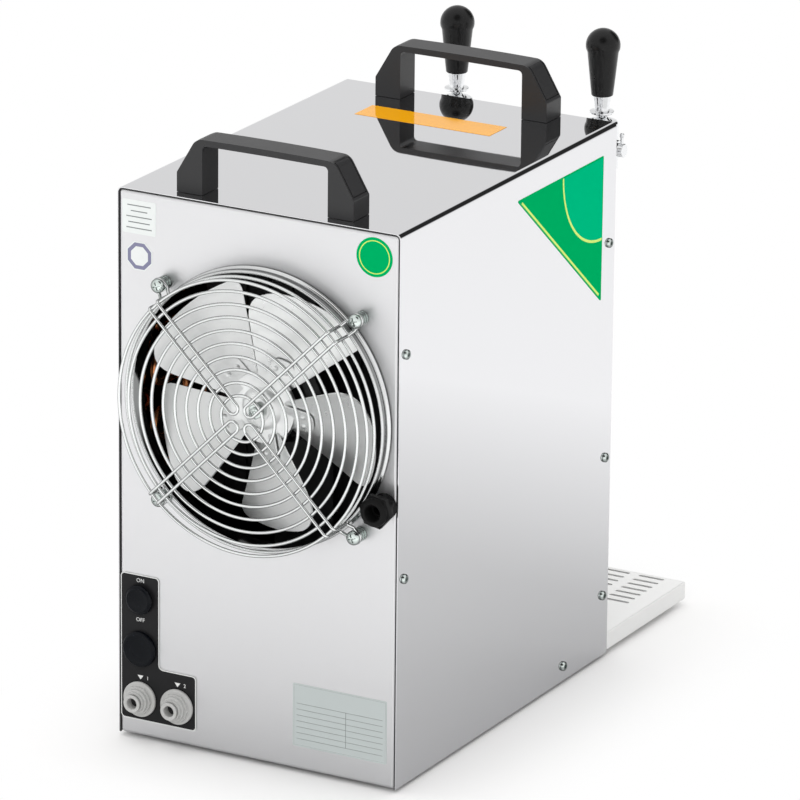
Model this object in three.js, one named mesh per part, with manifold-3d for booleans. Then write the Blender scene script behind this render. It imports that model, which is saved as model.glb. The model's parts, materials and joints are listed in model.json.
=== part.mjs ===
// A two-tap dry draft beer dispenser: a sheet steel cabinet with a compressor cooling unit inside,
// a guarded condenser fan at the back, two taps and a drip tray at the front and two carrying bows.
// Units are millimetres. +Z is up, the taps face -Y and the fan faces +Y. Every place is given from
// the middle of the cabinet in X and Y and from the floor in Z; the last lines move the whole
// assembly along Y, so that the origin lies under the middle of its outer box.
import * as THREE from 'three';
import { mergeVertices } from 'three/addons/utils/BufferGeometryUtils.js';
import Module from 'manifold-3d';

const wasm = await Module();
wasm.setup();

// Fits that the whole part shares
const SEAT_GAP = 0.3;
const RUNNING_GAP = 0.5;
const CUT_OVERRUN = 2;

// Facet counts of round work
const FINE_SIDES = 36;
const ROUND_SIDES = 14;
const SMALL_SIDES = 8;
const CORNER_STEPS = 2;

// Cabinet
const CABINET_WIDTH = 287;
const CABINET_DEPTH = 406;
const CABINET_HEIGHT = 516;
const SHEET = 1.2;
const BEND_RADIUS = 5;
const FLANGE_DEPTH = 18;
const BASE_WALL_HEIGHT = 24;

// Push-in rubber feet
const FOOT_HEIGHT = 4;
const FOOT_RADIUS = 10;
const FOOT_NECK_RADIUS = 4;
const FOOT_BARB_RADIUS = 5.5;
const FOOT_BARB_HEIGHT = 3;
const FOOT_INSET = 34;

// Side screws and the nut strips that they turn into
const SCREW_RADIUS = 2;
const SCREW_HEAD_RADIUS = 4.5;
const SCREW_HEAD_HEIGHT = 2.6;
const SCREW_EDGE_INSET = 11.5;
const SCREW_TOP_DROP = 112;
const SCREW_MIDDLE_HEIGHT = 196;
const SCREW_LOW_HEIGHT = 60;
const BASE_SCREW_INSET = 88;
const BASE_SCREW_HEIGHT = 14.5;
const NUT_STRIP_THICKNESS = 4;
const NUT_STRIP_WIDTH = 10;

// Carrying bows on the top
const HANDLE_WIDTH = 179;
const HANDLE_DEPTH = 28;
const HANDLE_LEG_WIDTH = 26;
const HANDLE_SHOULDER_HEIGHT = 18;
const HANDLE_CROWN_WIDTH = 140;
const HANDLE_CROWN_HEIGHT = 51;
const HANDLE_HEIGHT = 51.8;
const HANDLE_OPENING_HEIGHT = 45.5;
const HANDLE_OPENING_ARCH = 0.3;
const HANDLE_INNER_RADIUS = 4;
const HANDLE_CROWN_RADIUS = 12;
const REAR_HANDLE_INSET = 12;
const FRONT_HANDLE_INSET = 8;

// Spun collar of the fan
const FAN_X = -6;
const FAN_DROP = 181;
const RING_TIP_GAP = 12;
const RING_ROLL_WIDTH = 3;
const RING_FOOT_WIDTH = 4.2;
const RING_WALL = 1.5;
const RING_HEIGHT = 13.5;
const RING_ROLL = 3;
const RING_NECK_LENGTH = 5;

// Wire guard
const GUARD_STANDOFF = 36.5;
const GUARD_WIRE_RADIUS = 1.5;
const GUARD_FIRST_RING_RADIUS = 21.2;
const GUARD_FRONT_RINGS = 9;
const GUARD_RIM_OUTSET = 0.2;
const GUARD_RIM_GAP = 9.8;
const GUARD_REAR_RIM_STANDOFF = 24;
const GUARD_SHOULDER_STANDOFF = 17;
const GUARD_ARM_HALF_GAP = 5.5;
const GUARD_ARM_START = 7;
const GUARD_ARMS = 4;
const GUARD_SCREW_GAP = 12.4;
const GUARD_EYE_STANDOFF = 11;
const GUARD_WELD_SHARE = 0.83;
const GUARD_WIRE_SIDES = 4;
const GUARD_STEP_LENGTH = 36;
const GUARD_FEWEST_STEPS = 12;
const GUARD_RING_FOLD = 4;
const GUARD_RIM_FOLD = 8;

// Guard screws with their spacers
const GUARD_SPACER_RADIUS = 6.5;
const GUARD_SHANK_RADIUS = 2.5;
const GUARD_HEAD_RADIUS = 6.5;
const GUARD_HEAD_HEIGHT = 4;
const GUARD_SHANK_TAIL = 6;

// Fan wheel
const BLADE_COUNT = 5;
const BLADE_FIRST_ANGLE = 65;
const BLADE_TIP_RADIUS = 114;
const BLADE_ROOT_RADIUS = 26;
const BLADE_HALF_ANGLE = 28.5;
const BLADE_LEADING_CORNER = 30;
const BLADE_TRAILING_CORNER = 12;
const BLADE_SHEET = 1.5;
const BLADE_PITCH = 22;
const BLADE_TIP_STEPS = 4;
const FAN_SETBACK = 1;
const FAN_HUB_RADIUS = 33;
const FAN_HUB_SHEET = 3;
const FAN_BOSS_RADIUS = 11;
const FAN_BOSS_LENGTH = 20;
const FAN_NUT_RADIUS = 7;
const FAN_NUT_LENGTH = 6;

// Fan motor and its stand
const MOTOR_RADIUS = 42;
const MOTOR_LENGTH = 46;
const MOTOR_SHAFT_RADIUS = 4;
const MOTOR_TO_HUB = 12;
const MOTOR_SEAT_RADIUS = 15;
const MOTOR_SEAT_LENGTH = 4;
const STAND_WIDTH = 60;
const STAND_SHEET = 2.5;
const STAND_FOOT_DEPTH = 30;
const STAND_HEAD_ABOVE = 34;

// Condenser with its coil
const CONDENSER_WIDTH = 212;
const CONDENSER_HEIGHT = 240;
const CONDENSER_DEPTH = 38;
const CONDENSER_GAP = 6;
const CONDENSER_FIN_DEPTH = 3;
const CONDENSER_FINS = 9;
const CONDENSER_PLATE = 2;
const CONDENSER_TUBE_RADIUS = 4;
const CONDENSER_ROWS = 8;
const CONDENSER_ROW_STEPS = 4;

// Hermetic compressor
const COMPRESSOR_RADIUS = 56;
const COMPRESSOR_HEIGHT = 150;
const COMPRESSOR_X = -38;
const COMPRESSOR_GAP = 20;
const COMPRESSOR_FOOT_WIDTH = 118;
const COMPRESSOR_FOOT_HEIGHT = 12;
const COMPRESSOR_SHOULDER = 26;
const COMPRESSOR_RELAY_WIDTH = 44;
const COMPRESSOR_RELAY_DEPTH = 20;
const COMPRESSOR_RELAY_HEIGHT = 50;

// Cooling core, its foam jacket and the beer coils
const CORE_RADIUS = 48;
const CORE_HEIGHT = 350;
const JACKET_WALL = 22;
const JACKET_FLOOR = 24;
const JACKET_HEIGHT = 414;
const JACKET_PANEL_GAP = 9;
const COIL_TUBE_RADIUS = 4.75;
const COIL_CORE_GAP = 2.2;
const COIL_PITCH = 68;
const COIL_TURNS = 4;
const COIL_END_TURN_SHARES = [0.5, 0.25];
const COIL_STEPS = 12;
const COIL_SIDES = 4;
const COIL_START_HEIGHT = 50;
const COIL_BEND = 26;
const LINE_STEP = 30;

// Suction line and drier
const DRIER_RADIUS = 11;
const DRIER_LENGTH = 90;
const DRIER_NECK_RADIUS = 3.5;
const DRIER_NECK_LENGTH = 12;
const PIPE_RADIUS = 4;
const PIPE_BEND = 22;

// Air pump
const PUMP_WIDTH = 40;
const PUMP_DEPTH = 84;
const PUMP_HEIGHT = 70;
const PUMP_LINE_GAP = 33.2;
const PUMP_REAR_GAP = 22;
const PUMP_FOOT_HEIGHT = 8;
const PUMP_HEAD_RADIUS = 14;
const PUMP_HEAD_HEIGHT = 18;

// L-shaped control plate on the rear panel, seen from behind its left edge is at +X
const PLATE_EDGE_INSET = 3;
const PLATE_THICKNESS = 0.8;
const PLATE_COLUMN_WIDTH = 40;
const PLATE_FOOT_WIDTH = 78.5;
const PLATE_BOTTOM_HEIGHT = 15.5;
const PLATE_STEP_HEIGHT = 68;
const PLATE_TOP_HEIGHT = 155;
const PLATE_CORNER = 4;

// Air switch, air outlet with its cap, and beer inlets
const COLUMN_INSET = 23.5;
const SWITCH_HEIGHT = 132;
const SWITCH_RADIUS = 14;
const SWITCH_DISC = 3.2;
const SWITCH_TRAVEL = 2.4;
const SWITCH_STEM_RADIUS = 8;
const SWITCH_STEM_LENGTH = 12;
const OUTLET_HEIGHT = 84.5;
const CAP_RADIUS = 16.8;
const CAP_HEIGHT = 4.4;
const CAP_FACE = 1.6;
const PORT_RADIUS = 9;
const PORT_BORE_RADIUS = 3.6;
const PORT_TAIL_RADIUS = 7;
const PORT_TAIL_LENGTH = 16;
const INLET_HEIGHT = 36.3;
const INLET_SPACING = 38.8;
const INLET_FLANGE_RADIUS = 16.6;
const INLET_FLANGE_THICKNESS = 3;
const INLET_HEX_RADIUS = 13.8;
const INLET_HEX_LENGTH = 3.4;
const INLET_STEP_RADIUS = 11.6;
const INLET_STEP_LENGTH = 3.2;
const INLET_NOSE_RADIUS = 9.8;
const INLET_NOSE_LENGTH = 3;
const INLET_TAIL_RADIUS = 9;
const INLET_TAIL_LENGTH = 22;
const INLET_BORE_RADIUS = 7.4;
const INLET_BORE_DEPTH = 22;
const COLLET_LIP_RADIUS = 8.4;
const COLLET_LIP = 1.6;
const COLLET_TRAVEL = 1.8;
const COLLET_BORE_RADIUS = 5;
const COLLET_SLEEVE_LENGTH = 10;

// Cable gland
const GLAND_EDGE_INSET = 13;
const GLAND_RING_GAP = 0.2;
const GLAND_HEX_RADIUS = 12.3;
const GLAND_HEX_LENGTH = 7;
const GLAND_SKIRT_RADIUS = 12;
const GLAND_SKIRT_LENGTH = 6.3;
const GLAND_NUT_RADIUS = 16.5;
const GLAND_NUT_LENGTH = 6.6;
const GLAND_DOME_RADIUS = 13.2;
const GLAND_DOME_LENGTH = 4;
const GLAND_COLLAR_RADIUS = 7.5;
const GLAND_COLLAR_LENGTH = 6;
const GLAND_BORE_RADIUS = 4.6;
const GLAND_THREAD_RADIUS = 7;
const GLAND_THREAD_LENGTH = 5.5;

// Thermostat in the front panel
const THERMOSTAT_DROP = 60;
const THERMOSTAT_WIDTH = 34;
const THERMOSTAT_DEPTH = 22;
const THERMOSTAT_SHAFT_RADIUS = 3;
const THERMOSTAT_SHAFT_LENGTH = 14;
const DIAL_RADIUS = 21;
const DIAL_SKIRT = 3;
const DIAL_GRIP_RADIUS = 15;
const DIAL_GRIP_LENGTH = 14;
const DIAL_WALL = 5;
const DIAL_FINGERS = 8;
const DIAL_FINGER_RADIUS = 2.2;

// Taps
const TAP_SPACING = 154;
const TAP_REACH = 98.5;
const TAP_SHANK_DROP = 64;
const SHANK_RADIUS = 9;
const SHANK_ROSE_RADIUS = 20;
const SHANK_ROSE_LENGTH = 6;
const SHANK_TAIL = 14;
const SHANK_NUT_RADIUS = 14;
const SHANK_NUT_LENGTH = 5;
const SHANK_SOCKET_DEPTH = 12;
const BARREL_RADIUS = 16;
const BARREL_ABOVE_SHANK = 32;
const BARREL_BELOW_SHANK = 16;
const BARREL_CHAMFER = 3;
const BARREL_COLLAR_RADIUS = 13;
const BARREL_COLLAR_LENGTH = 16;
const BARREL_WELL_RADIUS = 9.6;
const BARREL_WELL_DEPTH = 14;
const LEVER_PIVOT_RISE = 28;
const LEVER_BALL_RADIUS = 9;
const LEVER_STEM_RADIUS = 3.3;
const FERRULE_RISE = 39;
const FERRULE_FLANGE_RADIUS = 11.5;
const FERRULE_FLANGE = 2.4;
const FERRULE_FOOT_RADIUS = 6.9;
const FERRULE_HEAD_RADIUS = 8.6;
const FERRULE_LENGTH = 17;
const KNOB_LENGTH = 64;
const KNOB_FOOT_RADIUS = 10.2;
const KNOB_NECK_RADIUS = 14.6;
const KNOB_BALL_RADIUS = 16.2;
const KNOB_STUD_RADIUS = 3;
const KNOB_STUD_LENGTH = 22;
const SPOUT_RADIUS = 8;
const SPOUT_TIP_RADIUS = 6.8;
const SPOUT_BORE_RADIUS = 5.2;
const SPOUT_LENGTH = 46;
const SPOUT_COLLAR_RADIUS = 10.5;
const SPOUT_COLLAR_LENGTH = 8;
const SPOUT_SPIGOT_LENGTH = 6;
const SPOUT_BORE_DEPTH = 40;
const FLOW_BOSS_RADIUS = 9;
const FLOW_BOSS_LENGTH = 4;
const FLOW_RISE = 7;
const FLOW_AXIS_SHIFT = 4;
const FLOW_HUB_RADIUS = 6.5;
const FLOW_HUB_LENGTH = 6;
const FLOW_PIN_RADIUS = 3;
const FLOW_PIN_LENGTH = 6;
const FLOW_ARM_RADIUS = 1.6;
const FLOW_ARM_LENGTH = 10;
const FLOW_TIP_RADIUS = 2.4;
const FLOW_TIP_LENGTH = 5;

// Drip tray with its slotted grille
const TRAY_DEPTH = 163;
const TRAY_HEIGHT = 17.4;
const TRAY_LIFT = 1.6;
const TRAY_TONGUE_X = 112;
const TRAY_TONGUE_WIDTH = 20;
const TRAY_TONGUE_THICKNESS = 3;
const TRAY_TONGUE_LENGTH = 22;
const TRAY_TONGUE_HEIGHT = 9;
const SLOT_LENGTH = 27;
const SLOT_WIDTH = 4;
const SLOT_ROW_PITCH = 12.2;
const SLOT_COLUMN_PITCH = 36.6;
const SLOT_ROWS = 7;
const SLOT_COLUMNS = 7;
const SLOT_FRONT_INSET = 6;
const GRILLE_FOOT_INSET = 8;

// Finishes
const STEEL_COLOR = 0xc9cbcc;
const MIRROR_COLOR = 0xd2d4d6;
const BLACK_COLOR = 0x1d1f20;
const RUBBER_COLOR = 0x151515;
const ZINC_COLOR = 0xb9c1bd;
const CHROME_COLOR = 0xdfe3e5;
const BLADE_COLOR = 0xd9dcdb;
const COPPER_COLOR = 0xb5643a;
const FIN_COLOR = 0x17181a;
const FOAM_COLOR = 0x2c2e31;
const NYLON_COLOR = 0xbfc1bc;
const PAINT_COLOR = 0x202224;
const ALUMINIUM_COLOR = 0xa9adb0;

// Planes and places that several pieces share
const halfWidth = CABINET_WIDTH / 2;
const rearY = CABINET_DEPTH / 2;
const frontY = -rearY;
const baseZ = FOOT_HEIGHT;
const topZ = baseZ + CABINET_HEIGHT;
const innerHalf = halfWidth - SHEET;
const panelHalf = innerHalf - SEAT_GAP;
const panelTop = topZ - SHEET - SEAT_GAP;
const panelBend = BEND_RADIUS - SHEET - SEAT_GAP;
const decksUnder = baseZ + SHEET + SEAT_GAP;
const deckZ = decksUnder + SHEET;
const stripOuter = panelHalf - SHEET - SEAT_GAP;
const fanZ = topZ - FAN_DROP;
const ringBore = BLADE_TIP_RADIUS + RING_TIP_GAP;
const ringNeckRadius = ringBore + RING_WALL;
const ringRollRadius = ringBore + RING_ROLL_WIDTH;
const ringFootRadius = ringBore + RING_FOOT_WIDTH;
const guardRimRadius = ringBore + GUARD_RIM_OUTSET;
const guardPitch = (guardRimRadius - GUARD_RIM_GAP - GUARD_FIRST_RING_RADIUS) / (GUARD_FRONT_RINGS - 1);
const guardEyeRadius = ringRollRadius + GUARD_SCREW_GAP;
const columnX = halfWidth - COLUMN_INSET;
const plateFace = rearY + SEAT_GAP + PLATE_THICKNESS;
const inletZ = baseZ + INLET_HEIGHT;
const inletXs = [columnX, columnX - INLET_SPACING];
const tapXs = [TAP_SPACING / 2, -TAP_SPACING / 2];
const tapY = frontY - TAP_REACH;
const shankZ = topZ - TAP_SHANK_DROP;
const dialZ = topZ - THERMOSTAT_DROP;
const glandX = GLAND_EDGE_INSET - halfWidth;
const glandReach = ringFootRadius + GLAND_HEX_RADIUS + GLAND_RING_GAP;
const glandZ = fanZ - Math.sqrt(Math.max(0, glandReach ** 2 - (glandX - FAN_X) ** 2));
const sideNames = ['left', 'right'];

// Shape helpers

/** Turns a closed geometry into a solid with its faces pointing out. */
function solidOf(geometry) {
  const plain = geometry.clone();
  plain.deleteAttribute('normal');
  plain.deleteAttribute('uv');
  const merged = mergeVertices(plain);
  const places = merged.attributes.position;
  const kept = [];
  let volume = 0;
  const corners = [new THREE.Vector3(), new THREE.Vector3(), new THREE.Vector3()];
  for (let i = 0; i < merged.index.count; i += 3) {
    const triangle = [0, 1, 2].map((k) => merged.index.getX(i + k));
    if (new Set(triangle).size < 3) continue;
    corners.forEach((corner, k) => corner.fromBufferAttribute(places, triangle[k]));
    volume += corners[0].dot(corners[1].clone().cross(corners[2]));
    kept.push(triangle);
  }
  const ordered = volume < 0 ? kept.map(([a, b, c]) => [a, c, b]) : kept;
  const vertProperties = new Float32Array(places.array);
  const triVerts = new Uint32Array(ordered.flat());
  return new wasm.Manifold(new wasm.Mesh({ numProp: 3, vertProperties, triVerts }));
}

/** Turns a finished solid back into a geometry. */
function geometryOf(solid) {
  const mesh = solid.getMesh();
  const geometry = new THREE.BufferGeometry();
  geometry.setAttribute('position', new THREE.BufferAttribute(new Float32Array(mesh.vertProperties), 3));
  geometry.setIndex(new THREE.BufferAttribute(new Uint32Array(mesh.triVerts), 1));
  geometry.computeVertexNormals();
  return geometry;
}

/** Joins a list of overlapping solids. */
function join(solids) {
  return solids.reduce((whole, solid) => whole.add(solid));
}

/** Cuts every tool out of a solid. */
function cut(solid, tools) {
  return tools.reduce((rest, tool) => rest.subtract(tool), solid);
}

/** A straight block between two corners. */
function block([x0, y0, z0], [x1, y1, z1]) {
  const geometry = new THREE.BoxGeometry(x1 - x0, y1 - y0, z1 - z0);
  geometry.translate((x0 + x1) / 2, (y0 + y1) / 2, (z0 + z1) / 2);
  return solidOf(geometry);
}

// Turns that lay the local +Z of a shape or a turned profile along a world axis
const alongAxis = {
  x: new THREE.Matrix4().makeRotationY(Math.PI / 2),
  y: new THREE.Matrix4().makeRotationX(-Math.PI / 2),
  z: new THREE.Matrix4(),
};

/** Spins a profile of [radius, height] points round an axis through a centre. */
function turned(profile, axis, [x, y, z], sides) {
  const points = profile.map(([radius, height]) => new THREE.Vector2(radius, height));
  const geometry = new THREE.LatheGeometry(points, sides);
  geometry.rotateX(Math.PI / 2);
  geometry.applyMatrix4(alongAxis[axis]);
  geometry.translate(x, y, z);
  return solidOf(geometry);
}

/** A round bar from one height to another along an axis. */
function bar(radius, from, to, axis, centre, sides) {
  return turned([[0, from], [radius, from], [radius, to], [0, to]], axis, centre, sides);
}

/** A ring-shaped bar with a bore. */
function sleeve(outer, bore, from, to, axis, centre, sides) {
  return turned([[bore, from], [outer, from], [outer, to], [bore, to], [bore, from]], axis, centre, sides);
}

/** An outline given a thickness along its own +Z, with its corners in a few steps. */
function thickened(shape, depth) {
  return new THREE.ExtrudeGeometry(shape, { depth, bevelEnabled: false, curveSegments: CORNER_STEPS });
}

/** An outline drawn in X and Z, given a depth in Y from y0 to y1. */
function slabXZ(shape, y0, y1) {
  const geometry = thickened(shape, y1 - y0);
  geometry.rotateX(Math.PI / 2);
  geometry.translate(0, y1, 0);
  return solidOf(geometry);
}

/** A rectangle with one radius at its lower and one at its upper corners. */
function roundedRectangle(x0, z0, x1, z1, lowRadius, highRadius) {
  const shape = new THREE.Shape();
  shape.moveTo(x0 + lowRadius, z0);
  shape.lineTo(x1 - lowRadius, z0);
  shape.absarc(x1 - lowRadius, z0 + lowRadius, lowRadius, -Math.PI / 2, 0);
  shape.lineTo(x1, z1 - highRadius);
  shape.absarc(x1 - highRadius, z1 - highRadius, highRadius, 0, Math.PI / 2);
  shape.lineTo(x0 + highRadius, z1);
  shape.absarc(x0 + highRadius, z1 - highRadius, highRadius, Math.PI / 2, Math.PI);
  shape.lineTo(x0, z0 + lowRadius);
  shape.absarc(x0 + lowRadius, z0 + lowRadius, lowRadius, Math.PI, 1.5 * Math.PI);
  return shape;
}

/** A closed tube that follows a curve. */
function tube(curve, radius, sides, steps) {
  const section = new THREE.Shape();
  for (let i = 0; i < sides; i += 1) {
    const angle = (2 * Math.PI * i) / sides;
    section.lineTo(radius * Math.cos(angle), radius * Math.sin(angle));
  }
  return solidOf(new THREE.ExtrudeGeometry(section, { extrudePath: curve, steps, bevelEnabled: false }));
}

/** A finish for one piece. */
function finish(color, roughness, metalness) {
  return new THREE.MeshStandardMaterial({ color, roughness, metalness });
}

const assembly = new THREE.Group();

/** Adds one named piece to a group, moved to its place. */
function addPiece(name, solid, material, place = [0, 0, 0], group = assembly) {
  const mesh = new THREE.Mesh(geometryOf(solid), material);
  mesh.name = name;
  mesh.position.set(...place);
  group.add(mesh);
}

// Side screw places, from the cabinet's middle and the floor, for one side
const rearScrews = [SCREW_MIDDLE_HEIGHT, CABINET_HEIGHT - SCREW_TOP_DROP].map(
  (height) => [rearY - SCREW_EDGE_INSET, baseZ + height],
);
const frontScrews = [SCREW_LOW_HEIGHT, SCREW_MIDDLE_HEIGHT, CABINET_HEIGHT - SCREW_TOP_DROP].map(
  (height) => [frontY + SCREW_EDGE_INSET, baseZ + height],
);
const baseScrew = [frontY + BASE_SCREW_INSET, baseZ + BASE_SCREW_HEIGHT];

/** Holes along X for the screws of both sides. */
function sideHoles(screws) {
  return screws.map(([y, z]) => bar(
    SCREW_RADIUS + SEAT_GAP,
    -halfWidth - CUT_OVERRUN,
    halfWidth + CUT_OVERRUN,
    'x',
    [0, y, z],
    SMALL_SIDES,
  ));
}

/** The bent cover: two sides and the top in one sheet, open below, in front and behind. */
function makeWrapCover() {
  const outer = new THREE.Shape();
  const innerBend = BEND_RADIUS - SHEET;
  outer.moveTo(-halfWidth, baseZ);
  outer.lineTo(-innerHalf, baseZ);
  outer.lineTo(-innerHalf, topZ - BEND_RADIUS);
  outer.absarc(-halfWidth + BEND_RADIUS, topZ - BEND_RADIUS, innerBend, Math.PI, Math.PI / 2, true);
  outer.lineTo(halfWidth - BEND_RADIUS, topZ - SHEET);
  outer.absarc(halfWidth - BEND_RADIUS, topZ - BEND_RADIUS, innerBend, Math.PI / 2, 0, true);
  outer.lineTo(innerHalf, baseZ);
  outer.lineTo(halfWidth, baseZ);
  outer.lineTo(halfWidth, topZ - BEND_RADIUS);
  outer.absarc(halfWidth - BEND_RADIUS, topZ - BEND_RADIUS, BEND_RADIUS, 0, Math.PI / 2);
  outer.lineTo(-halfWidth + BEND_RADIUS, topZ);
  outer.absarc(-halfWidth + BEND_RADIUS, topZ - BEND_RADIUS, BEND_RADIUS, Math.PI / 2, Math.PI);
  return cut(slabXZ(outer, frontY, rearY), sideHoles([...rearScrews, ...frontScrews, baseScrew]));
}

/** A panel tray: a face with a flange turned inward all round; inward is +1 or -1 along Y. */
function panelTray(faceY, inward) {
  const innerBend = panelBend - SHEET;
  const outline = roundedRectangle(-panelHalf, baseZ, panelHalf, panelTop, panelBend, panelBend);
  const hollow = roundedRectangle(
    -panelHalf + SHEET,
    baseZ + SHEET,
    panelHalf - SHEET,
    panelTop - SHEET,
    innerBend,
    innerBend,
  );
  const ends = [faceY, faceY + inward * FLANGE_DEPTH];
  const hollowEnds = [faceY + inward * SHEET, faceY + inward * (FLANGE_DEPTH + CUT_OVERRUN)];
  const tray = slabXZ(outline, Math.min(...ends), Math.max(...ends));
  return tray.subtract(slabXZ(hollow, Math.min(...hollowEnds), Math.max(...hollowEnds)));
}

/** A hole along Y through whatever sheet lies near a face. */
function holeAlongY(radius, x, faceY, z, sides) {
  return bar(radius, -FLANGE_DEPTH / 2, FLANGE_DEPTH / 2, 'y', [x, faceY, z], sides);
}

const guardScrewPlaces = [[1, 1], [1, -1], [-1, 1], [-1, -1]].map(
  ([sx, sz]) => [FAN_X + sx * guardEyeRadius * Math.SQRT1_2, fanZ + sz * guardEyeRadius * Math.SQRT1_2],
);

/** The rear panel with the fan mouth and the holes of everything that is screwed into it. */
function makeRearPanel() {
  const holes = [
    holeAlongY(ringNeckRadius + SEAT_GAP, FAN_X, rearY, fanZ, FINE_SIDES),
    holeAlongY(SWITCH_STEM_RADIUS + RUNNING_GAP, columnX, rearY, baseZ + SWITCH_HEIGHT, ROUND_SIDES),
    holeAlongY(PORT_TAIL_RADIUS + SEAT_GAP, columnX, rearY, baseZ + OUTLET_HEIGHT, ROUND_SIDES),
    holeAlongY(GLAND_THREAD_RADIUS + SEAT_GAP, glandX, rearY, glandZ, SMALL_SIDES),
    ...inletXs.map((x) => holeAlongY(INLET_TAIL_RADIUS + SEAT_GAP, x, rearY, inletZ, ROUND_SIDES)),
    ...guardScrewPlaces.map(([x, z]) => holeAlongY(GUARD_SHANK_RADIUS + SEAT_GAP, x, rearY, z, SMALL_SIDES)),
  ];
  return cut(panelTray(rearY, -1), [...holes, ...sideHoles(rearScrews)]);
}

const tongueZ = baseZ + TRAY_LIFT + TRAY_TONGUE_HEIGHT;
const tongueXs = [TRAY_TONGUE_X, -TRAY_TONGUE_X];

/** The front panel with the shank holes, the thermostat hole and the slots for the tray's tongues. */
function makeFrontPanel() {
  const slotHalf = TRAY_TONGUE_WIDTH / 2 + SEAT_GAP;
  const slotTop = tongueZ + TRAY_TONGUE_THICKNESS + SEAT_GAP;
  const slots = tongueXs.map((x) => block(
    [x - slotHalf, frontY - CUT_OVERRUN, tongueZ - SEAT_GAP],
    [x + slotHalf, frontY + FLANGE_DEPTH / 2, slotTop],
  ));
  const holes = [
    ...tapXs.map((x) => holeAlongY(SHANK_RADIUS + SEAT_GAP, x, frontY, shankZ, ROUND_SIDES)),
    holeAlongY(THERMOSTAT_SHAFT_RADIUS + RUNNING_GAP, 0, frontY, dialZ, SMALL_SIDES),
  ];
  return cut(panelTray(frontY, 1), [...slots, ...holes, ...sideHoles(frontScrews)]);
}

const footPlaces = [[1, 1], [-1, 1], [1, -1], [-1, -1]].map(
  ([sx, sy]) => [sx * (halfWidth - FOOT_INSET), sy * (rearY - FOOT_INSET)],
);

/** The base pan: a deck that lies on the panels' lower flanges, with a wall turned up at each side. */
function makeBasePan() {
  const deckHalf = panelHalf - panelBend;
  const deckEnd = rearY - SHEET - SEAT_GAP;
  const wallEnd = rearY - FLANGE_DEPTH - SEAT_GAP;
  const deck = block([-deckHalf, -deckEnd, decksUnder], [deckHalf, deckEnd, deckZ]);
  const pan = block([-panelHalf, -wallEnd, decksUnder], [panelHalf, wallEnd, baseZ + BASE_WALL_HEIGHT]);
  const hollow = block(
    [-panelHalf + SHEET, -wallEnd - CUT_OVERRUN, deckZ],
    [panelHalf - SHEET, wallEnd + CUT_OVERRUN, baseZ + BASE_WALL_HEIGHT + CUT_OVERRUN],
  );
  const footHoles = footPlaces.map(([x, y]) => bar(
    FOOT_NECK_RADIUS + SEAT_GAP,
    decksUnder - CUT_OVERRUN,
    deckZ + CUT_OVERRUN,
    'z',
    [x, y, 0],
    ROUND_SIDES,
  ));
  return cut(deck.add(pan.subtract(hollow)), [...footHoles, ...sideHoles([baseScrew])]);
}

/** One rubber foot: a pad below the deck, a neck through its hole and a barb above it. */
function makeFoot() {
  const padTop = decksUnder - SEAT_GAP;
  const barbFrom = deckZ + SEAT_GAP;
  return turned([
    [0, 0],
    [FOOT_RADIUS, 0],
    [FOOT_RADIUS, padTop],
    [FOOT_NECK_RADIUS, padTop],
    [FOOT_NECK_RADIUS, barbFrom],
    [FOOT_BARB_RADIUS, barbFrom],
    [FOOT_NECK_RADIUS, barbFrom + FOOT_BARB_HEIGHT],
    [0, barbFrom + FOOT_BARB_HEIGHT],
  ], 'z', [0, 0, 0], ROUND_SIDES);
}

/** One side screw for the +X side, with its tip in the nut strip. */
function sideScrew(y, z) {
  const headFrom = halfWidth + SEAT_GAP;
  const dome = headFrom + SCREW_HEAD_HEIGHT;
  return turned([
    [0, stripOuter - NUT_STRIP_THICKNESS / 2],
    [SCREW_RADIUS, stripOuter - NUT_STRIP_THICKNESS / 2],
    [SCREW_RADIUS, headFrom],
    [SCREW_HEAD_RADIUS, headFrom],
    [SCREW_HEAD_RADIUS, (headFrom + dome) / 2],
    [SCREW_HEAD_RADIUS / 2, dome],
    [0, dome],
  ], 'x', [0, y, z], SMALL_SIDES);
}

/** A nut strip with its screws, for the +X side: an upright bar and, in front, a foot along the base. */
function makeNutStrip(screws, foot) {
  const heights = screws.map(([, z]) => z);
  const [y] = screws[0];
  const inner = stripOuter - NUT_STRIP_THICKNESS;
  const half = NUT_STRIP_WIDTH / 2;
  const low = (foot ? foot[1] : Math.min(...heights)) - half;
  const high = Math.max(...heights) + half;
  const parts = [
    block([inner, y - half, low], [stripOuter, y + half, high]),
    ...screws.map(([screwY, screwZ]) => sideScrew(screwY, screwZ)),
  ];
  if (foot) {
    const [footY, footZ] = foot;
    parts.push(block([inner, y - half, low], [stripOuter, footY + half, footZ + half]));
    parts.push(sideScrew(footY, footZ));
  }
  return join(parts);
}

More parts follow.
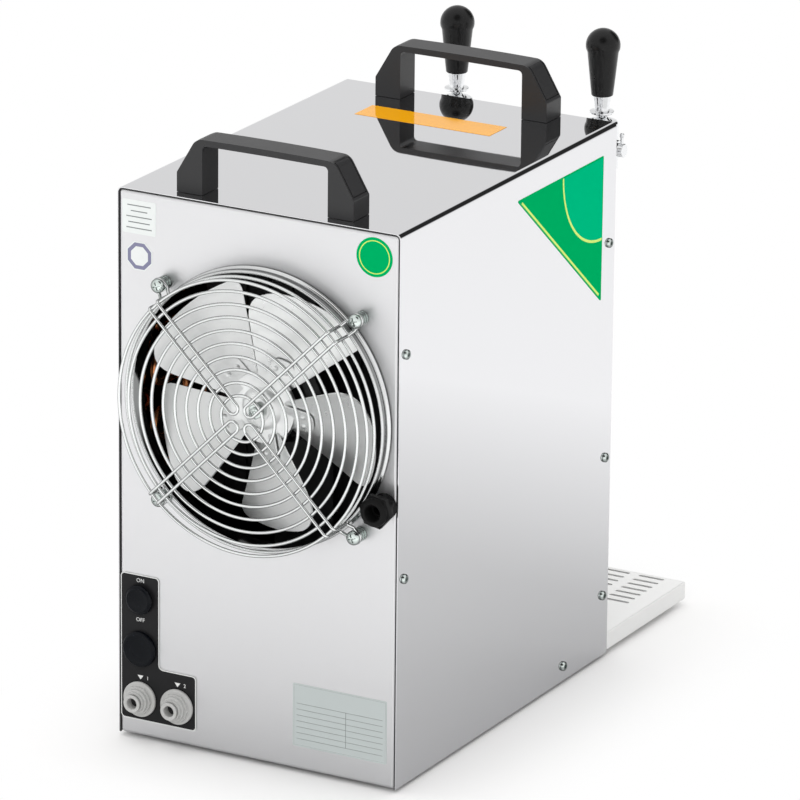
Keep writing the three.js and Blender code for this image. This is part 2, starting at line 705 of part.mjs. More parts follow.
/** One carrying bow, standing on z = 0 with its rear face at y = 0. */
function makeHandle() {
  const half = HANDLE_WIDTH / 2;
  const crownHalf = HANDLE_CROWN_WIDTH / 2;
  const openHalf = half - HANDLE_LEG_WIDTH;
  const slope = new THREE.Vector2(half - crownHalf, HANDLE_SHOULDER_HEIGHT - HANDLE_CROWN_HEIGHT).normalize();
  const cornerX = crownHalf + slope.x * HANDLE_CROWN_RADIUS;
  const cornerZ = HANDLE_CROWN_HEIGHT + slope.y * HANDLE_CROWN_RADIUS;
  const shape = new THREE.Shape();
  shape.moveTo(-half, 0);
  shape.lineTo(-openHalf, 0);
  shape.lineTo(-openHalf, HANDLE_OPENING_HEIGHT - HANDLE_INNER_RADIUS);
  shape.absarc(
    -openHalf + HANDLE_INNER_RADIUS,
    HANDLE_OPENING_HEIGHT - HANDLE_INNER_RADIUS,
    HANDLE_INNER_RADIUS,
    Math.PI,
    Math.PI / 2,
    true,
  );
  shape.lineTo(0, HANDLE_OPENING_HEIGHT + HANDLE_OPENING_ARCH);
  shape.lineTo(openHalf - HANDLE_INNER_RADIUS, HANDLE_OPENING_HEIGHT);
  shape.absarc(
    openHalf - HANDLE_INNER_RADIUS,
    HANDLE_OPENING_HEIGHT - HANDLE_INNER_RADIUS,
    HANDLE_INNER_RADIUS,
    Math.PI / 2,
    0,
    true,
  );
  shape.lineTo(openHalf, 0);
  shape.lineTo(half, 0);
  shape.lineTo(half, HANDLE_SHOULDER_HEIGHT);
  const crownEnd = crownHalf - HANDLE_CROWN_RADIUS;
  const crownPull = 2 * HANDLE_HEIGHT - HANDLE_CROWN_HEIGHT;
  shape.lineTo(cornerX, cornerZ);
  shape.quadraticCurveTo(crownHalf, HANDLE_CROWN_HEIGHT, crownEnd, HANDLE_CROWN_HEIGHT);
  shape.quadraticCurveTo(0, crownPull, -crownEnd, HANDLE_CROWN_HEIGHT);
  shape.quadraticCurveTo(-crownHalf, HANDLE_CROWN_HEIGHT, -cornerX, cornerZ);
  shape.lineTo(-half, HANDLE_SHOULDER_HEIGHT);
  return slabXZ(shape, -HANDLE_DEPTH, 0);
}

/** The spun fan collar: a neck in the panel's hole, a foot on the panel and a rolled rim. */
function makeFanRing() {
  const footTo = SEAT_GAP + RING_WALL;
  const rollFrom = RING_HEIGHT - RING_ROLL;
  return turned([
    [ringBore, -RING_NECK_LENGTH],
    [ringNeckRadius, -RING_NECK_LENGTH],
    [ringNeckRadius, SEAT_GAP],
    [ringFootRadius, SEAT_GAP],
    [ringFootRadius, footTo],
    [ringNeckRadius, footTo],
    [ringNeckRadius, rollFrom],
    [ringRollRadius, rollFrom],
    [ringRollRadius, rollFrom + RING_ROLL / 2],
    [ringNeckRadius, RING_HEIGHT],
    [ringBore, rollFrom + RING_ROLL / 2],
    [ringBore, -RING_NECK_LENGTH],
  ], 'y', [0, 0, 0], FINE_SIDES);
}

const guardWeld = GUARD_WIRE_RADIUS * GUARD_WELD_SHARE;
const guardArmY = GUARD_STANDOFF + 2 * GUARD_WIRE_RADIUS - guardWeld;

/** A wire ring of the guard round the local Y axis, with facets in a multiple of the fold. */
function wireRing(radius, standoff, fold) {
  const folds = Math.round((2 * Math.PI * radius) / GUARD_STEP_LENGTH / fold);
  const steps = Math.max(GUARD_FEWEST_STEPS, folds * fold);
  const geometry = new THREE.TorusGeometry(radius, GUARD_WIRE_RADIUS, GUARD_WIRE_SIDES, steps);
  geometry.rotateX(Math.PI / 2);
  geometry.translate(0, standoff, 0);
  return solidOf(geometry);
}

/** A straight wire between two points. */
function wire(from, to) {
  const line = new THREE.LineCurve3(new THREE.Vector3(...from), new THREE.Vector3(...to));
  return tube(line, GUARD_WIRE_RADIUS, GUARD_WIRE_SIDES, 1);
}

/** The wire guard, centred on the fan axis: rings and two rims on four hairpin arms that step down to an eye. */
function makeFanGuard() {
  const eyeY = GUARD_EYE_STANDOFF;
  const overlap = guardWeld;
  const armFront = guardArmY;
  const shoulderY = GUARD_SHOULDER_STANDOFF;
  const bendRadius = guardRimRadius + 2 * GUARD_WIRE_RADIUS - overlap;
  const toeRadius = guardEyeRadius - GUARD_HEAD_RADIUS;
  const parts = [];
  for (let i = 0; i < GUARD_FRONT_RINGS; i += 1) {
    parts.push(wireRing(GUARD_FIRST_RING_RADIUS + i * guardPitch, GUARD_STANDOFF, GUARD_RING_FOLD));
  }
  for (const standoff of [GUARD_STANDOFF, GUARD_REAR_RIM_STANDOFF]) {
    parts.push(wireRing(guardRimRadius, standoff, GUARD_RIM_FOLD));
  }
  const arm = [];
  for (const side of [1, -1]) {
    const across = side * GUARD_ARM_HALF_GAP;
    arm.push(wire([GUARD_ARM_START, armFront, across], [bendRadius + overlap, armFront, across]));
    arm.push(wire([bendRadius, armFront + overlap, across], [bendRadius, shoulderY - overlap, across]));
    arm.push(wire([bendRadius - overlap, shoulderY, across], [toeRadius + overlap, eyeY, across]));
    arm.push(wire([toeRadius, eyeY, across], [guardEyeRadius, eyeY, across]));
  }
  arm.push(wire(
    [GUARD_ARM_START, armFront, -GUARD_ARM_HALF_GAP - overlap],
    [GUARD_ARM_START, armFront, GUARD_ARM_HALF_GAP + overlap],
  ));
  const eye = new THREE.TorusGeometry(GUARD_ARM_HALF_GAP, GUARD_WIRE_RADIUS, GUARD_WIRE_SIDES, SMALL_SIDES);
  eye.rotateX(Math.PI / 2);
  eye.translate(guardEyeRadius, eyeY, 0);
  arm.push(solidOf(eye));
  const wholeArm = join(arm);
  for (let i = 0; i < GUARD_ARMS; i += 1) {
    parts.push(wholeArm.rotate([0, 45 + (i * 360) / GUARD_ARMS, 0]));
  }
  return join(parts);
}

/** One guard screw on its spacer, with its axis along Y and the panel's face at y = 0. */
function makeGuardScrew() {
  const spacerTo = GUARD_EYE_STANDOFF - GUARD_WIRE_RADIUS - SEAT_GAP;
  const headFrom = GUARD_EYE_STANDOFF + GUARD_WIRE_RADIUS + SEAT_GAP;
  return turned([
    [0, -GUARD_SHANK_TAIL],
    [GUARD_SHANK_RADIUS, -GUARD_SHANK_TAIL],
    [GUARD_SHANK_RADIUS, SEAT_GAP],
    [GUARD_SPACER_RADIUS, SEAT_GAP],
    [GUARD_SPACER_RADIUS, spacerTo],
    [GUARD_SHANK_RADIUS, spacerTo],
    [GUARD_SHANK_RADIUS, headFrom],
    [GUARD_HEAD_RADIUS, headFrom],
    [GUARD_HEAD_RADIUS, headFrom + GUARD_HEAD_HEIGHT / 2],
    [GUARD_HEAD_RADIUS / 2, headFrom + GUARD_HEAD_HEIGHT],
    [0, headFrom + GUARD_HEAD_HEIGHT],
  ], 'y', [0, 0, 0], SMALL_SIDES);
}

const fanMiddle = -FAN_SETBACK;
const hubBack = fanMiddle - FAN_BOSS_LENGTH / 2;
const motorFront = hubBack - MOTOR_TO_HUB;
const motorBack = motorFront - MOTOR_LENGTH;
const standFace = motorBack - MOTOR_SEAT_LENGTH - SEAT_GAP;

/** The fan wheel, centred on its axis with the panel's face at y = 0: pitched blades on a hub plate. */
function makeFanBlades() {
  const pitch = THREE.MathUtils.degToRad(BLADE_PITCH);
  const halfAngle = THREE.MathUtils.degToRad(BLADE_HALF_ANGLE);
  const leadingTurn = BLADE_LEADING_CORNER / BLADE_TIP_RADIUS;
  const trailingTurn = BLADE_TRAILING_CORNER / BLADE_TIP_RADIUS;
  const at = (radius, angle) => [(radius * Math.sin(angle)) / Math.cos(pitch), radius * Math.cos(angle)];
  const outline = new THREE.Shape();
  outline.moveTo(...at(BLADE_ROOT_RADIUS, -halfAngle));
  outline.lineTo(...at(BLADE_TIP_RADIUS - BLADE_LEADING_CORNER, -halfAngle));
  outline.quadraticCurveTo(
    ...at(BLADE_TIP_RADIUS, -halfAngle),
    ...at(BLADE_TIP_RADIUS, -halfAngle + leadingTurn),
  );
  const arcFrom = -halfAngle + leadingTurn;
  const arcTo = halfAngle - trailingTurn;
  for (let i = 1; i <= BLADE_TIP_STEPS; i += 1) {
    outline.lineTo(...at(BLADE_TIP_RADIUS, arcFrom + ((arcTo - arcFrom) * i) / BLADE_TIP_STEPS));
  }
  outline.quadraticCurveTo(
    ...at(BLADE_TIP_RADIUS, halfAngle),
    ...at(BLADE_TIP_RADIUS - BLADE_TRAILING_CORNER, halfAngle),
  );
  outline.lineTo(...at(BLADE_ROOT_RADIUS, halfAngle));
  outline.lineTo(0, 0);
  const geometry = thickened(outline, BLADE_SHEET);
  geometry.translate(0, 0, -BLADE_SHEET / 2);
  geometry.rotateY(pitch);
  geometry.rotateX(-Math.PI / 2);
  const blade = solidOf(geometry);
  const parts = [];
  for (let i = 0; i < BLADE_COUNT; i += 1) {
    parts.push(blade.rotate([0, 90 + BLADE_FIRST_ANGLE + (i * 360) / BLADE_COUNT, 0]));
  }
  const centre = [0, 0, 0];
  const middle = bar(BLADE_ROOT_RADIUS, -FAN_BOSS_LENGTH, FAN_BOSS_LENGTH, 'y', centre, ROUND_SIDES);
  const wheel = join(parts).subtract(middle);
  const hub = bar(FAN_HUB_RADIUS, -FAN_HUB_SHEET / 2, FAN_HUB_SHEET / 2, 'y', centre, ROUND_SIDES);
  const boss = bar(FAN_BOSS_RADIUS, -FAN_BOSS_LENGTH / 2, FAN_BOSS_LENGTH / 2, 'y', centre, ROUND_SIDES);
  const nutTo = FAN_BOSS_LENGTH / 2 + FAN_NUT_LENGTH;
  const nut = bar(FAN_NUT_RADIUS, 0, nutTo, 'y', centre, 6);
  const bore = bar(
    MOTOR_SHAFT_RADIUS + SEAT_GAP,
    -FAN_BOSS_LENGTH / 2 - CUT_OVERRUN,
    FAN_BOSS_LENGTH / 2,
    'y',
    centre,
    ROUND_SIDES,
  );
  return join([wheel, hub, boss, nut]).subtract(bore).translate([0, fanMiddle, 0]);
}

/** The fan motor with its shaft in the hub's bore and its seat against the stand. */
function makeFanMotor() {
  const shoulder = MOTOR_LENGTH / 5;
  return turned([
    [0, motorBack - MOTOR_SEAT_LENGTH],
    [MOTOR_SEAT_RADIUS, motorBack - MOTOR_SEAT_LENGTH],
    [MOTOR_SEAT_RADIUS, motorBack],
    [MOTOR_RADIUS - shoulder, motorBack],
    [MOTOR_RADIUS, motorBack + shoulder],
    [MOTOR_RADIUS, motorFront - shoulder],
    [MOTOR_RADIUS - shoulder, motorFront],
    [MOTOR_SHAFT_RADIUS * 2, motorFront],
    [MOTOR_SHAFT_RADIUS, motorFront + MOTOR_TO_HUB / 2],
    [MOTOR_SHAFT_RADIUS, fanMiddle + FAN_BOSS_LENGTH / 2 - SEAT_GAP],
    [0, fanMiddle + FAN_BOSS_LENGTH / 2 - SEAT_GAP],
  ], 'y', [0, 0, 0], ROUND_SIDES);
}

const standFaceY = rearY + standFace;
const condenserRearY = standFaceY - STAND_SHEET - CONDENSER_GAP;
const condenserFrontY = condenserRearY - CONDENSER_DEPTH;
const condenserLow = fanZ - CONDENSER_HEIGHT / 2;
const condenserHigh = fanZ + CONDENSER_HEIGHT / 2;
const condenserHalf = CONDENSER_WIDTH / 2;
const standHalf = STAND_WIDTH / 2;
const seatZ = deckZ + SEAT_GAP;

/** The motor stand: an upright sheet with a foot on the deck. */
function makeMotorStand() {
  const upright = block(
    [FAN_X - standHalf, standFaceY - STAND_SHEET, seatZ],
    [FAN_X + standHalf, standFaceY, fanZ + STAND_HEAD_ABOVE],
  );
  const foot = block(
    [FAN_X - standHalf, standFaceY - STAND_SHEET, seatZ],
    [FAN_X + standHalf, standFaceY + STAND_FOOT_DEPTH, seatZ + STAND_SHEET],
  );
  return upright.add(foot);
}

/** The condenser: a block with grooves between its fins, held by two end plates that reach the deck. */
function makeCondenser() {
  const core = block(
    [FAN_X - condenserHalf, condenserFrontY, condenserLow],
    [FAN_X + condenserHalf, condenserRearY, condenserHigh],
  );
  const pitch = CONDENSER_WIDTH / CONDENSER_FINS;
  const grooves = [];
  for (let i = 1; i < CONDENSER_FINS; i += 1) {
    const x = FAN_X - condenserHalf + i * pitch;
    grooves.push(block(
      [x - pitch / 4, condenserRearY - CONDENSER_FIN_DEPTH, condenserLow - CUT_OVERRUN],
      [x + pitch / 4, condenserRearY + CUT_OVERRUN, condenserHigh + CUT_OVERRUN],
    ));
  }
  const plates = [FAN_X - condenserHalf, FAN_X + condenserHalf - CONDENSER_PLATE].map(
    (x) => block([x, condenserFrontY, seatZ], [x + CONDENSER_PLATE, condenserRearY, condenserHigh]),
  );
  return join([cut(core, grooves), ...plates]);
}

/** The copper return bends that lie against the condenser's +X end plate, one above the other. */
function makeCondenserCoil() {
  const middleY = (condenserFrontY + condenserRearY) / 2;
  const x = FAN_X + condenserHalf + SEAT_GAP + CONDENSER_TUBE_RADIUS;
  const pitch = (CONDENSER_HEIGHT - 4 * CONDENSER_TUBE_RADIUS) / CONDENSER_ROWS;
  const points = [];
  for (let row = 0; row <= CONDENSER_ROWS; row += 1) {
    const z = condenserLow + 2 * CONDENSER_TUBE_RADIUS + row * pitch;
    const swing = row % 2 ? 1 : -1;
    const y = middleY + (swing * (CONDENSER_DEPTH - 2 * CONDENSER_TUBE_RADIUS)) / 2;
    points.push(new THREE.Vector3(x, y, z));
  }
  const path = new THREE.CatmullRomCurve3(points);
  return tube(path, CONDENSER_TUBE_RADIUS, SMALL_SIDES, CONDENSER_ROWS * CONDENSER_ROW_STEPS);
}

const compressorY = condenserFrontY - COMPRESSOR_GAP - COMPRESSOR_RADIUS + CONDENSER_DEPTH;

/** The hermetic compressor: a domed can on a foot plate, with a relay box at its side. */
function makeCompressor() {
  const shellFrom = seatZ + COMPRESSOR_FOOT_HEIGHT;
  const shellTo = shellFrom + COMPRESSOR_HEIGHT;
  const shell = turned([
    [0, shellFrom - SHEET],
    [COMPRESSOR_RADIUS - COMPRESSOR_SHOULDER, shellFrom - SHEET],
    [COMPRESSOR_RADIUS, shellFrom + COMPRESSOR_SHOULDER],
    [COMPRESSOR_RADIUS, shellTo - COMPRESSOR_SHOULDER],
    [COMPRESSOR_RADIUS - COMPRESSOR_SHOULDER / 3, shellTo - COMPRESSOR_SHOULDER / 3],
    [COMPRESSOR_RADIUS - COMPRESSOR_SHOULDER, shellTo],
    [0, shellTo],
  ], 'z', [COMPRESSOR_X, compressorY, 0], ROUND_SIDES);
  const half = COMPRESSOR_FOOT_WIDTH / 2;
  const inner = half / 2;
  const feet = [compressorY - half, compressorY + inner].map(
    (y) => block([COMPRESSOR_X - half, y, seatZ], [COMPRESSOR_X + half, y + inner, shellFrom]),
  );
  const bridge = block(
    [COMPRESSOR_X - inner, compressorY - half, shellFrom - COMPRESSOR_FOOT_HEIGHT / 2],
    [COMPRESSOR_X + inner, compressorY + half, shellFrom],
  );
  const relayHalf = COMPRESSOR_RELAY_WIDTH / 2;
  const relayLow = shellFrom + COMPRESSOR_SHOULDER;
  const relayEnd = COMPRESSOR_X + COMPRESSOR_RADIUS + COMPRESSOR_RELAY_DEPTH;
  const relay = block(
    [COMPRESSOR_X + COMPRESSOR_RADIUS / 2, compressorY - relayHalf, relayLow],
    [relayEnd, compressorY + relayHalf, relayLow + COMPRESSOR_RELAY_HEIGHT],
  );
  return join([shell, ...feet, bridge, relay]);
}

const coilRadius = CORE_RADIUS + COIL_CORE_GAP + COIL_TUBE_RADIUS;
const wellRadius = coilRadius + COIL_TUBE_RADIUS + 3 * RUNNING_GAP;
const jacketHalf = wellRadius + JACKET_WALL;
const coreY = frontY + JACKET_PANEL_GAP + jacketHalf;
const jacketTop = seatZ + JACKET_HEIGHT;
const coilStart = baseZ + COIL_START_HEIGHT;
const entryY = coreY + coilRadius;

/** The aluminium cooling core that the beer coils wind round. */
function makeCoolingCore() {
  const from = seatZ + JACKET_FLOOR + SEAT_GAP;
  const chamfer = CORE_RADIUS / 10;
  return turned([
    [0, from],
    [CORE_RADIUS, from],
    [CORE_RADIUS, from + CORE_HEIGHT - chamfer],
    [CORE_RADIUS - chamfer, from + CORE_HEIGHT],
    [0, from + CORE_HEIGHT],
  ], 'z', [0, coreY, 0], ROUND_SIDES);
}

/** The foam jacket: a square block with a round well, open at the top and notched where the lines enter. */
function makeCoolingJacket() {
  const body = block([-jacketHalf, coreY - jacketHalf, seatZ], [jacketHalf, coreY + jacketHalf, jacketTop]);
  const well = bar(wellRadius, seatZ + JACKET_FLOOR, jacketTop + CUT_OVERRUN, 'z', [0, coreY, 0], FINE_SIDES);
  const half = COIL_TUBE_RADIUS + COIL_CORE_GAP;
  const entry = block(
    [0, entryY - half, coilStart - half],
    [jacketHalf + CUT_OVERRUN, coreY + jacketHalf + CUT_OVERRUN, coilStart + COIL_PITCH / 2 + half],
  );
  return cut(body, [well, entry]);
}

/** One beer line: from its inlet along the base, up round the core and out to its tap's shank. */
function makeBeerLine(index) {
  const startZ = coilStart + (index * COIL_PITCH) / 2;
  const inletX = inletXs[index];
  const tapX = tapXs[index];
  const lineFrom = rearY - INLET_TAIL_LENGTH - SEAT_GAP;
  const points = [
    [inletX, lineFrom, inletZ],
    [inletX, lineFrom - COIL_BEND, inletZ],
    [inletX, entryY + 3 * COIL_BEND, (inletZ + startZ) / 2],
    [inletX, entryY + 2 * COIL_BEND, startZ],
    [inletX - COIL_BEND / 2, entryY + COIL_BEND / 2, startZ],
    [inletX - 2 * COIL_BEND, entryY, startZ],
  ];
  const turns = COIL_TURNS + COIL_END_TURN_SHARES[index];
  const steps = Math.round(turns * COIL_STEPS);
  for (let i = 0; i <= steps; i += 1) {
    const angle = Math.PI / 2 + (2 * Math.PI * i) / COIL_STEPS;
    points.push([
      coilRadius * Math.cos(angle),
      coreY + coilRadius * Math.sin(angle),
      startZ + (i * COIL_PITCH) / COIL_STEPS,
    ]);
  }
  const [endX, endY, endZ] = points[points.length - 1];
  const tailY = frontY + SHANK_TAIL + SEAT_GAP;
  points.push([endX, endY, (endZ + jacketTop) / 2]);
  points.push([endX, endY, jacketTop + 2 * COIL_TUBE_RADIUS]);
  points.push([tapX, tailY + 2 * COIL_BEND, shankZ]);
  points.push([tapX, tailY + COIL_BEND, shankZ]);
  points.push([tapX, tailY, shankZ]);
  const path = new THREE.CatmullRomCurve3(points.map((point) => new THREE.Vector3(...point)));
  return tube(path, COIL_TUBE_RADIUS, COIL_SIDES, Math.round(path.getLength() / LINE_STEP));
}

const compressorTop = seatZ + COMPRESSOR_FOOT_HEIGHT + COMPRESSOR_HEIGHT;
const pipeX = -jacketHalf + JACKET_WALL / 2;

/** The suction line: from the jacket's top back and down to the top of the compressor. */
function makeSuctionLine() {
  const y0 = coreY;
  const points = [
    [pipeX, y0, jacketTop + SEAT_GAP],
    [pipeX, y0, jacketTop + PIPE_BEND],
    [pipeX, y0 + PIPE_BEND, jacketTop + 2 * PIPE_BEND],
    [pipeX, coreY + jacketHalf, jacketTop + 2 * PIPE_BEND],
    [pipeX, coreY + jacketHalf + PIPE_BEND, jacketTop],
    [pipeX, coreY + jacketHalf + PIPE_BEND, compressorTop + 2 * PIPE_BEND],
    [COMPRESSOR_X, compressorY, compressorTop + PIPE_BEND],
    [COMPRESSOR_X, compressorY, compressorTop + SEAT_GAP],
  ];
  const path = new THREE.CatmullRomCurve3(points.map((point) => new THREE.Vector3(...point)));
  return tube(path, PIPE_RADIUS, COIL_SIDES, Math.round(path.getLength() / LINE_STEP));
}

/** The drier: a copper cartridge with a neck at each end, upright beside the condenser's end plate. */
function makeFilterDrier() {
  const middleY = condenserFrontY - DRIER_RADIUS - SEAT_GAP;
  const low = condenserLow;
  const high = low + DRIER_LENGTH;
  return turned([
    [0, low - DRIER_NECK_LENGTH],
    [DRIER_NECK_RADIUS, low - DRIER_NECK_LENGTH],
    [DRIER_NECK_RADIUS, low],
    [DRIER_RADIUS, low + DRIER_NECK_LENGTH],
    [DRIER_RADIUS, high - DRIER_NECK_LENGTH],
    [DRIER_NECK_RADIUS, high],
    [DRIER_NECK_RADIUS, high + DRIER_NECK_LENGTH],
    [0, high + DRIER_NECK_LENGTH],
  ], 'z', [FAN_X + condenserHalf - 2 * DRIER_RADIUS, middleY, 0], ROUND_SIDES);
}

/** The air pump: a box with a cylinder head, on two low feet, beside the inner inlet's line. */
function makeAirPump() {
  const x = inletXs[1] - PUMP_LINE_GAP;
  const y1 = rearY - FLANGE_DEPTH - PUMP_REAR_GAP;
  const y0 = y1 - PUMP_DEPTH;
  const half = PUMP_WIDTH / 2;
  const bodyFrom = seatZ + PUMP_FOOT_HEIGHT;
  const body = block([x - half, y0, bodyFrom], [x + half, y1, bodyFrom + PUMP_HEIGHT]);
  const feet = [y0, y1 - PUMP_FOOT_HEIGHT].map(
    (y) => block([x - half, y, seatZ], [x + half, y + PUMP_FOOT_HEIGHT, bodyFrom + SHEET]),
  );
  const headFrom = bodyFrom + PUMP_HEIGHT - SHEET;
  const headPlace = [x, (y0 + y1) / 2, 0];
  const head = bar(PUMP_HEAD_RADIUS, headFrom, headFrom + PUMP_HEAD_HEIGHT, 'z', headPlace, ROUND_SIDES);
  return join([body, ...feet, head]);
}

/** The L-shaped control plate with its clearance holes. */
function makeControlPlate() {
  const x0 = halfWidth - PLATE_EDGE_INSET;
  const columnEdge = x0 - PLATE_COLUMN_WIDTH;
  const footEdge = x0 - PLATE_FOOT_WIDTH;
  const low = baseZ + PLATE_BOTTOM_HEIGHT;
  const step = baseZ + PLATE_STEP_HEIGHT;
  const high = baseZ + PLATE_TOP_HEIGHT;
  const r = PLATE_CORNER;
  const shape = new THREE.Shape();
  shape.moveTo(footEdge + r, low);
  shape.lineTo(x0 - r, low);
  shape.absarc(x0 - r, low + r, r, -Math.PI / 2, 0);
  shape.lineTo(x0, high - r);
  shape.absarc(x0 - r, high - r, r, 0, Math.PI / 2);
  shape.lineTo(columnEdge + r, high);
  shape.absarc(columnEdge + r, high - r, r, Math.PI / 2, Math.PI);
  shape.lineTo(columnEdge, step + r);
  shape.absarc(columnEdge - r, step + r, r, 0, -Math.PI / 2, true);
  shape.lineTo(footEdge + r, step);
  shape.absarc(footEdge + r, step - r, r, Math.PI / 2, Math.PI);
  shape.lineTo(footEdge, low + r);
  shape.absarc(footEdge + r, low + r, r, Math.PI, 1.5 * Math.PI);
  const holes = [
    holeAlongY(SWITCH_STEM_RADIUS + RUNNING_GAP, columnX, rearY, baseZ + SWITCH_HEIGHT, ROUND_SIDES),
    holeAlongY(PORT_TAIL_RADIUS + SEAT_GAP, columnX, rearY, baseZ + OUTLET_HEIGHT, ROUND_SIDES),
    ...inletXs.map((x) => holeAlongY(INLET_TAIL_RADIUS + SEAT_GAP, x, rearY, inletZ, ROUND_SIDES)),
  ];
  return cut(slabXZ(shape, rearY + SEAT_GAP, plateFace), holes);
}

/** The round push button of the air pump: a domed disc on a stem, y = 0 at the plate's face. */
function makeAirButton() {
  const discFrom = SWITCH_TRAVEL + SEAT_GAP;
  return turned([
    [0, -SWITCH_STEM_LENGTH],
    [SWITCH_STEM_RADIUS, -SWITCH_STEM_LENGTH],
    [SWITCH_STEM_RADIUS, discFrom],
    [SWITCH_RADIUS, discFrom],
    [SWITCH_RADIUS, discFrom + SWITCH_DISC / 2],
    [SWITCH_RADIUS * 0.8, discFrom + SWITCH_DISC],
    [0, discFrom + SWITCH_DISC],
  ], 'y', [0, 0, 0], ROUND_SIDES);
}

/** The air outlet: a short port with a tail through the panel and a bore, y = 0 at the plate's face. */
function makeAirPort() {
  const faceTo = CAP_HEIGHT - CAP_FACE - SEAT_GAP;
  return turned([
    [PORT_BORE_RADIUS, -PORT_TAIL_LENGTH],
    [PORT_TAIL_RADIUS, -PORT_TAIL_LENGTH],
    [PORT_TAIL_RADIUS, SEAT_GAP],
    [PORT_RADIUS, SEAT_GAP],
    [PORT_RADIUS, faceTo],
    [PORT_BORE_RADIUS, faceTo],
    [PORT_BORE_RADIUS, -PORT_TAIL_LENGTH],
  ], 'y', [0, 0, 0], ROUND_SIDES);
}

/** The black cap over the air outlet, y = 0 at the plate's face. */
function makeAirCap() {
  const well = CAP_HEIGHT - CAP_FACE;
  return turned([
    [PORT_RADIUS + SEAT_GAP, SEAT_GAP],
    [CAP_RADIUS, SEAT_GAP],
    [CAP_RADIUS, CAP_HEIGHT - CAP_FACE / 2],
    [CAP_RADIUS - CAP_FACE, CAP_HEIGHT],
    [0, CAP_HEIGHT],
    [0, well],
    [PORT_RADIUS + SEAT_GAP, well],
    [PORT_RADIUS + SEAT_GAP, SEAT_GAP],
  ], 'y', [0, 0, 0], ROUND_SIDES);
}

const hexTo = SEAT_GAP + INLET_FLANGE_THICKNESS + INLET_HEX_LENGTH;
const stepTo = hexTo + INLET_STEP_LENGTH;
const noseTo = stepTo + INLET_NOSE_LENGTH;
const colletSeat = noseTo + COLLET_TRAVEL + SEAT_GAP;

/** One bulkhead beer inlet: flange, hexagon and stepped nose, with a bore for the collet and the tube. */
function makeInletFitting() {
  const rod = (radius, from, to, sides) => bar(radius, from, to, 'y', [0, 0, 0], sides);
  const tailFrom = -INLET_TAIL_LENGTH - PLATE_THICKNESS;
  const solids = [
    rod(INLET_TAIL_RADIUS, tailFrom, SEAT_GAP + SHEET, ROUND_SIDES),
    rod(INLET_FLANGE_RADIUS, SEAT_GAP, SEAT_GAP + INLET_FLANGE_THICKNESS, ROUND_SIDES),
    rod(INLET_HEX_RADIUS, SEAT_GAP, hexTo, 6),
    rod(INLET_STEP_RADIUS, SEAT_GAP, stepTo, ROUND_SIDES),
    rod(INLET_NOSE_RADIUS, SEAT_GAP, noseTo, ROUND_SIDES),
  ];
  const bore = rod(INLET_BORE_RADIUS, noseTo - INLET_BORE_DEPTH, noseTo + CUT_OVERRUN, ROUND_SIDES);
  return join(solids).subtract(bore);
}

/** The release collet of an inlet: a sleeve in its bore under a lip that stands out by its travel. */
function makeInletCollet() {
  const outer = INLET_BORE_RADIUS - SEAT_GAP;
  return turned([
    [COLLET_BORE_RADIUS, colletSeat - COLLET_SLEEVE_LENGTH],
    [outer, colletSeat - COLLET_SLEEVE_LENGTH],
    [outer, colletSeat],
    [COLLET_LIP_RADIUS, colletSeat],
    [COLLET_LIP_RADIUS, colletSeat + COLLET_LIP],
    [COLLET_BORE_RADIUS, colletSeat + COLLET_LIP],
    [COLLET_BORE_RADIUS, colletSeat - COLLET_SLEEVE_LENGTH],
  ], 'y', [0, 0, 0], ROUND_SIDES);
}

/** The body of the cable gland: a threaded tail, a hexagon and a short collar, all with one bore. */
function makeGlandBody() {
  const centre = [0, 0, 0];
  const hexagonTo = SEAT_GAP + GLAND_HEX_LENGTH;
  const tail = bar(GLAND_THREAD_RADIUS, -GLAND_THREAD_LENGTH, SEAT_GAP + SHEET, 'y', centre, SMALL_SIDES);
  const hexagon = bar(GLAND_HEX_RADIUS, SEAT_GAP, hexagonTo, 'y', centre, 6);
  const collarTo = hexagonTo + GLAND_COLLAR_LENGTH;
  const collar = bar(GLAND_COLLAR_RADIUS, SEAT_GAP, collarTo, 'y', centre, SMALL_SIDES);
  const boreFrom = -GLAND_THREAD_LENGTH - CUT_OVERRUN;
  const bore = bar(GLAND_BORE_RADIUS, boreFrom, collarTo + CUT_OVERRUN, 'y', centre, SMALL_SIDES);
  return join([tail, hexagon, collar]).subtract(bore);
}

/** The clamping nut of the gland: a round skirt over the body's collar, a hexagon and a domed end. */
function makeGlandNut() {
  const centre = [0, 0, 0];
  const from = SEAT_GAP + GLAND_HEX_LENGTH + SEAT_GAP;
  const hexagonFrom = from + GLAND_SKIRT_LENGTH;
  const nutTo = hexagonFrom + GLAND_NUT_LENGTH;
  const domeTo = nutTo + GLAND_DOME_LENGTH;
  const hexagon = bar(GLAND_NUT_RADIUS, hexagonFrom, nutTo, 'y', centre, 6);
  const dome = turned([
    [0, from],
    [GLAND_SKIRT_RADIUS, from],
    [GLAND_SKIRT_RADIUS, hexagonFrom + SHEET],
    [GLAND_DOME_RADIUS, hexagonFrom + SHEET],
    [GLAND_DOME_RADIUS, nutTo + GLAND_DOME_LENGTH / 2],
    [(GLAND_DOME_RADIUS + GLAND_BORE_RADIUS) / 2, domeTo],
    [0, domeTo],
  ], 'y', centre, ROUND_SIDES);
  const wellTo = from + GLAND_COLLAR_LENGTH;
  const well = bar(GLAND_COLLAR_RADIUS + SEAT_GAP, from - CUT_OVERRUN, wellTo, 'y', centre, SMALL_SIDES);
  const bore = bar(GLAND_BORE_RADIUS, from, domeTo + CUT_OVERRUN, 'y', centre, SMALL_SIDES);
  return cut(hexagon.add(dome), [well, bore]);
}

